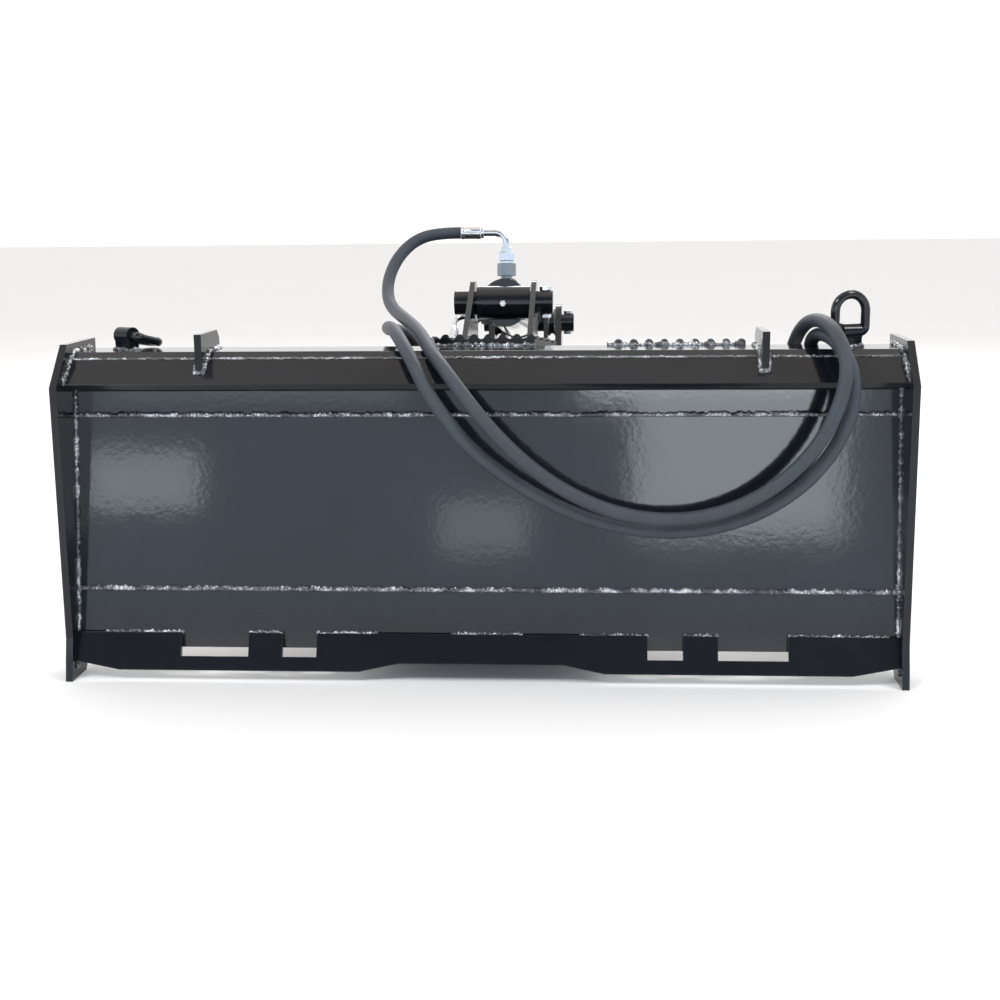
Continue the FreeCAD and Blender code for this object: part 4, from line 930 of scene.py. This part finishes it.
SIDE_INNER, SIDE_OUTER, DECK_RIB = 0.1645, 0.1755, 0.1045
FLOOR_AT_SIDE = ((0.045, 0.063), (0.600, 0.041), (1.145, 0.0185))
FLOOR_REAR, FLOOR_REAR_END = (0.034, 0.0615), 0.164
GUARD_MIDDLE, GUARD_SIDE = (-0.070, 0.070), (0.180, 0.366)
PIVOT_BOSS_RADIUS, PORT_BOSS_RADIUS = 0.0465, 0.0142
HUB_RADIUS, LEVER_BOSS_RADIUS = 0.0425, 0.0235
HUB_FACES = (-0.0545, -0.0415, -0.0275, -0.0185, 0.0545, 0.0635, 0.0775, 0.0905)
CLEVIS_FACES = (-0.0415, -0.0275, 0.0635, 0.0775)
BRACE_FACES = (-0.0415, 0.0775)
BRACES = (
    ((1.100, 0.3225), (1.165, 0.3185)),
    ((1.226, 0.2785), (1.272, 0.2365)),
    ((1.060, 0.2585), (1.130, 0.2505)),
)


def at_x(x, section):
    """A line of (Y, Z) pairs, set at an X."""
    return [(x, y, z) for y, z in section]


def level_run(start, end, place):
    """A straight line in X at one (Y, Z) pair."""
    return [(start, *place), (end, *place)]


def panel_rear(z):
    """Y of the leaning panel's rear face at a height."""
    return 0.024 + (z - 0.042) * (0.056 / 0.406)


def deck_top(y):
    """Z of the sloping deck's top face."""
    return 0.4465 - (y - 0.156) * 0.020 / 0.274


def circle(centre, axis, radius, count=49):
    """Points round an X or Z axis, and back to the first."""
    axis = Vector(axis)
    first = Vector((0, 1, 0)) if axis.x else axis.orthogonal().normalized()
    second = axis.cross(first)
    points = []
    for i in range(count):
        angle = math.radians(360.0 * i / (count - 1))
        spoke = first * math.cos(angle) + second * math.sin(angle)
        points.append(Vector(centre) + spoke * radius)
    return points


def seam_runs():
    """The long seams between the panel's strips."""
    return [level_run(-SEAM_END, SEAM_END, (panel_rear(z) - 0.0005, z)) for z in SEAM_HEIGHTS]


def corner_runs():
    """Fillets between the end plates and what meets them, and round the fins and the clips."""
    runs = []
    for sign in (-1, 1):
        x = sign * END_PLATE_FACE
        runs.append([(x, panel_rear(z) - 0.001, z) for z in (0.066, 0.15, 0.25, 0.35, 0.425)])
        runs.append(at_x(x, LIP_AT_END))
        runs.append(at_x(x, FOOT_AT_END))
        inner, outer = (sign * face for face in FIN_FACES)
        runs.append(at_x(inner, FIN_FOOT))
        runs.append(at_x(outer, FIN_FOOT))
        runs.append(level_run(inner, outer, FIN_REAR))
        runs.append(level_run(inner, outer, FIN_FRONT))
        runs.append(at_x(x, TOP_AT_END))
    for x, turned_by in CLIPS:
        spin = Matrix.Rotation(math.radians(turned_by), 3, "Z")
        a, b = CLIP_HALF_LENGTH, CLIP_HALF_WIDTH
        corners = [(-a, -b), (a, -b), (a, b), (-a, b), (-a, -b)]
        runs.append([Vector((x, CLIP_Y, PLATE_TOP)) + spin @ Vector((*c, 0)) for c in corners])
    return runs


def bracket_runs():
    """Fillets at the ears, the guard, the deck and the bucket's own joints."""
    runs = [[(x, y, deck_top(y)) for y in (0.172, 0.25, 0.33, 0.412)] for x in EAR_FACES]
    runs.append(level_run(*GUARD_MIDDLE, PLATE_FRONT_EDGE))
    for sign in (-1, 1):
        inner, outer, rib = sign * SIDE_INNER, sign * SIDE_OUTER, sign * DECK_RIB
        runs.append(at_x(inner, FLOOR_AT_SIDE))
        runs.append([(outer, 0.150, z) for z in (0.16, 0.30, 0.43)])
        panel = [(panel_rear(z) + PANEL_THICKNESS, z) for z in (0.07, 0.20, 0.33, 0.43)]
        runs.append(at_x(outer, panel))
        runs.append([(rib, y, deck_top(y) - DECK_THICKNESS) for y in (0.17, 0.30, 0.425)])
        runs.append(circle((outer, *PIVOT), (1, 0, 0), PIVOT_BOSS_RADIUS))
    runs.append(level_run(-FLOOR_REAR_END, FLOOR_REAR_END, FLOOR_REAR))
    runs.append(level_run(*GUARD_SIDE, PLATE_FRONT_EDGE))
    return runs


def cylinder_runs():
    """The welds where the barrel saddles the cross tube, and round the port bosses."""
    barrel, tube, reach, steps = 0.0380, 0.0262, 0.0245, 12
    runs = []
    for sign in (-1, 1):
        run = []
        for i in range(steps + 1):
            lift = -reach + 2 * reach * i / steps
            aside = Vector((sign * math.sqrt(barrel ** 2 - lift * lift), 0, 0))
            run.append(ram_point(math.sqrt(tube ** 2 - lift * lift), lift) + aside)
        runs.append(run)
    for name in ("base", "rod"):
        place = port_place(name)
        boss = circle((0, 0, 0), (0, 0, 1), PORT_BOSS_RADIUS, count=33)
        runs.append([place @ point for point in boss])
    return runs


def arm_runs():
    """Round the hub at each plate, round the lever bosses, and along the braces."""
    runs = [circle((x, *PIVOT), (1, 0, 0), HUB_RADIUS) for x in HUB_FACES]
    runs += [
        circle((x, *ROD_PIN), (1, 0, 0), LEVER_BOSS_RADIUS, count=33) for x in CLEVIS_FACES
    ]
    runs += [at_x(x, brace) for x in BRACE_FACES for brace in BRACES]
    return runs


class GRAPPLE_OT_weld_beads(bpy.types.Operator):
    """Lays weld beads along the plate's seams and every welded corner"""

    bl_idname = "grapple.weld_beads"
    bl_label = "Weld beads"

    def execute(self, context):
        weld = context.scene.weld_settings
        tree = bead_tree()
        metal_paint = weld_enamel("weld_enamel")
        lip = [level_run(-SEAM_END, SEAM_END, LIP_JOINT)]
        stitches = [level_run(start, end, FOOT_TOE) for start, end in STITCHES]
        seam, fillet = weld.seam_width, weld.fillet_width
        jobs = (  # name, runs, body, width, seed, unevenness
            ("panel_seam_beads", seam_runs(), BUCKET, seam, 11, 0.30),
            ("lip_seam_bead", lip, BUCKET, seam * 0.36, 12, 0.20),
            ("foot_stitch_beads", stitches, BUCKET, seam * 0.85, 13, 0.35),
            ("corner_beads", corner_runs(), BUCKET, fillet * 0.85, 14, 0.35),
            ("bracket_beads", bracket_runs(), BUCKET, fillet, 15, 0.25),
            ("cylinder_beads", cylinder_runs(), BARREL, fillet * 0.7, 16, 0.25),
            ("arm_beads", arm_runs(), ARM, fillet * 0.8, 17, 0.25),
        )
        ripple_width = 0.008  # the bead's width that has the ripple as set
        for name, runs, body, width, seed, uneven in jobs:
            ripple = weld.ripple * width / ripple_width
            lay_beads(tree, name, runs, body, metal_paint, width, ripple, seed, uneven)
        return {"FINISHED"}


# -------------------- studio

LAMPS = (  # name, place, target, width, height, power
    ("key_light", (-1.9, -2.4, 3.6), (0, 0.3, 0.3), 1.2, 0.8, 70),
    ("fill_light", (2.4, -1.2, 3.4), (0, 0.4, 0.3), 1.0, 1.0, 45),
    ("rim_light", (0.4, 3.6, 2.8), (0, 0.5, 0.3), 2.4, 1.0, 60),
)
CARDS = (  # name, X, Z, width, height, brightness
    ("card_left", -1.76, 0.66, 0.50, 0.25, 3.2),
    ("card_middle", -0.31, 0.47, 0.37, 0.22, 1.7),
    ("card_right", 0.74, 0.74, 0.86, 0.62, 4.2),
    ("card_top_right", 0.66, 1.08, 1.10, 0.12, 10.0),
    ("card_top_left", -1.30, 1.06, 1.30, 0.12, 1.2),
)
CARDS_Y, CARD_COLOUR = -4.0, (0.88, 0.95, 1.0)
FLOOR_HALF_WIDTH = 30
CAMERA_PLACE = (0.16158663, -1.9615625, 0.6442)
CAMERA_YAW, CAMERA_PITCH, CAMERA_ROLL = 3.84, 11.05, -0.61
CAMERA_LENS, CAMERA_SENSOR = 53.11, 36.0


def glow_panel(name, place, target, width, height, power, colour=(1, 1, 1)):
    """A soft area light that faces a point."""
    data = bpy.data.lights.new(name, "AREA")
    data.shape = "RECTANGLE"
    data.size, data.size_y = width, height
    data.energy = power
    data.color = colour
    lamp = bpy.data.objects.new(name, data)
    bpy.context.scene.collection.objects.link(lamp)
    lamp.location = place
    lamp.rotation_euler = (Vector(target) - Vector(place)).to_track_quat("-Z", "Y").to_euler()


class GRAPPLE_OT_studio(bpy.types.Operator):
    """Sets the floor, the pale surround, the soft lights and the camera"""

    bl_idname = "grapple.studio"
    bl_label = "Studio"

    def execute(self, context):
        scene = context.scene
        self.floor(scene.studio_settings)
        self.surround(scene, scene.studio_settings)
        for lamp in LAMPS:
            glow_panel(*lamp)
        self.windows()
        self.camera(scene)
        scene.view_settings.view_transform = "Standard"
        scene.view_settings.look = "None"
        return {"FINISHED"}

    def windows(self):
        """Soft cards behind the camera, which the gloss panel mirrors as broad, hazy patches."""
        for name, x, z, width, height, bright in CARDS:
            power = bright * math.pi * width * height
            glow_panel(name, (x, CARDS_Y, z), (x, 0, z), width, height, power, CARD_COLOUR)

    def floor(self, studio):
        """A wide, pale and slightly uneven floor."""
        material, tree, shader = new_material("pale_floor")
        colour = tuple(studio.floor_colour)
        clouds = noise(tree, object_coordinates(tree), scale=1.5)
        tone = ramp(tree, clouds, [(0.3, shaded(colour, 0.985)), (0.7, colour)])
        feed(shader, "Base Color", tone)
        feed(shader, "Roughness", 0.85)
        mesh = bpy.data.meshes.new("floor")
        work = bmesh.new()
        bmesh.ops.create_grid(work, x_segments=2, y_segments=2, size=FLOOR_HALF_WIDTH)
        work.to_mesh(mesh)
        work.free()
        mesh.materials.append(material)
        floor = bpy.data.objects.new("floor", mesh)
        bpy.context.scene.collection.objects.link(floor)
        floor.location = (0, 0, CAD_BOX[0].z)

    def surround(self, scene, studio):
        """White in front of the camera, and a dim room with a ceiling behind it."""
        world = bpy.data.worlds.new("studio")
        scene.world = world
        world.use_nodes = True
        tree = world.node_tree
        split = add(tree, "ShaderNodeSeparateXYZ")
        feed(split, "Vector", add(tree, "ShaderNodeTexCoord").outputs["Generated"])
        height = share(tree, split.outputs["Z"], -1.0, 1.0)
        ahead = share(tree, split.outputs["Y"], -0.25, 0.25)
        white, ceiling = (studio.backdrop,) * 3, tuple(studio.ceiling)
        room, dim_room = tuple(studio.room), shaded(studio.room, 0.2)
        behind = ramp(
            tree, height,
            [(0.0, white), (0.47, white), (0.50, room), (0.60, room), (0.70, dim_room),
             (0.86, dim_room), (0.97, ceiling)],
        )
        front = ramp(tree, height, [(0.0, white), (0.80, white), (1.0, ceiling)])
        background = tree.nodes["Background"]
        feed(background, "Color", mixed(tree, ahead, behind, front))
        feed(background, "Strength", 1.0)

    def camera(self, scene):
        """A camera that looks down at the plate's rear face."""
        data = bpy.data.cameras.new("camera")
        data.sensor_width = CAMERA_SENSOR
        data.lens = CAMERA_LENS
        data.clip_start, data.clip_end = 0.05, 100.0
        camera = bpy.data.objects.new("camera", data)
        scene.collection.objects.link(camera)
        yaw, pitch, roll = (math.radians(a) for a in (CAMERA_YAW, CAMERA_PITCH, CAMERA_ROLL))
        level = math.cos(pitch)
        ahead = Vector((-math.sin(yaw) * level, math.cos(yaw) * level, -math.sin(pitch)))
        right = Vector((math.cos(yaw), math.sin(yaw), 0))
        up = right.cross(ahead)
        side = right * math.cos(roll) + up * math.sin(roll)
        top = up * math.cos(roll) - right * math.sin(roll)
        facing = Matrix((side, top, -ahead)).transposed().to_4x4()
        camera.matrix_world = Matrix.Translation(CAMERA_PLACE) @ facing
        scene.camera = camera


# -------------------- add-on


class GRAPPLE_PT_panel(bpy.types.Panel):
    """The bucket's settings and its makers"""

    bl_label = "Grapple Bucket"
    bl_idname = "GRAPPLE_PT_panel"
    bl_space_type = "VIEW_3D"
    bl_region_type = "UI"
    bl_category = "Grapple Bucket"

    def draw(self, context):
        layout = self.layout
        for name in SETTINGS:
            group = getattr(context.scene, name)
            box = layout.box()
            for key in group.__class__.__annotations__:
                box.prop(group, key)
        for operator in STEPS:
            layout.operator(f"grapple.{operator}")


SETTINGS = {
    "paint_settings": PaintSettings,
    "weld_settings": WeldSettings,
    "hose_settings": HoseSettings,
    "studio_settings": StudioSettings,
}
STEPS = ("studio", "finishes", "couplers", "hoses", "fittings", "weld_beads")
CLASSES = (
    *SETTINGS.values(),
    GRAPPLE_OT_studio,
    GRAPPLE_OT_finishes,
    GRAPPLE_OT_couplers,
    GRAPPLE_OT_hoses,
    GRAPPLE_OT_fittings,
    GRAPPLE_OT_weld_beads,
    GRAPPLE_PT_panel,
)


def register():
    for cls in CLASSES:
        bpy.utils.register_class(cls)
    for name, group in SETTINGS.items():
        setattr(bpy.types.Scene, name, PointerProperty(type=group))


def unregister():
    for name in SETTINGS:
        delattr(bpy.types.Scene, name)
    for cls in reversed(CLASSES):
        bpy.utils.unregister_class(cls)


def main():
    """Registers the add-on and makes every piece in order."""
    register()
    for operator in STEPS:
        getattr(bpy.ops.grapple, operator)()


if __name__ == "__main__":
    main()
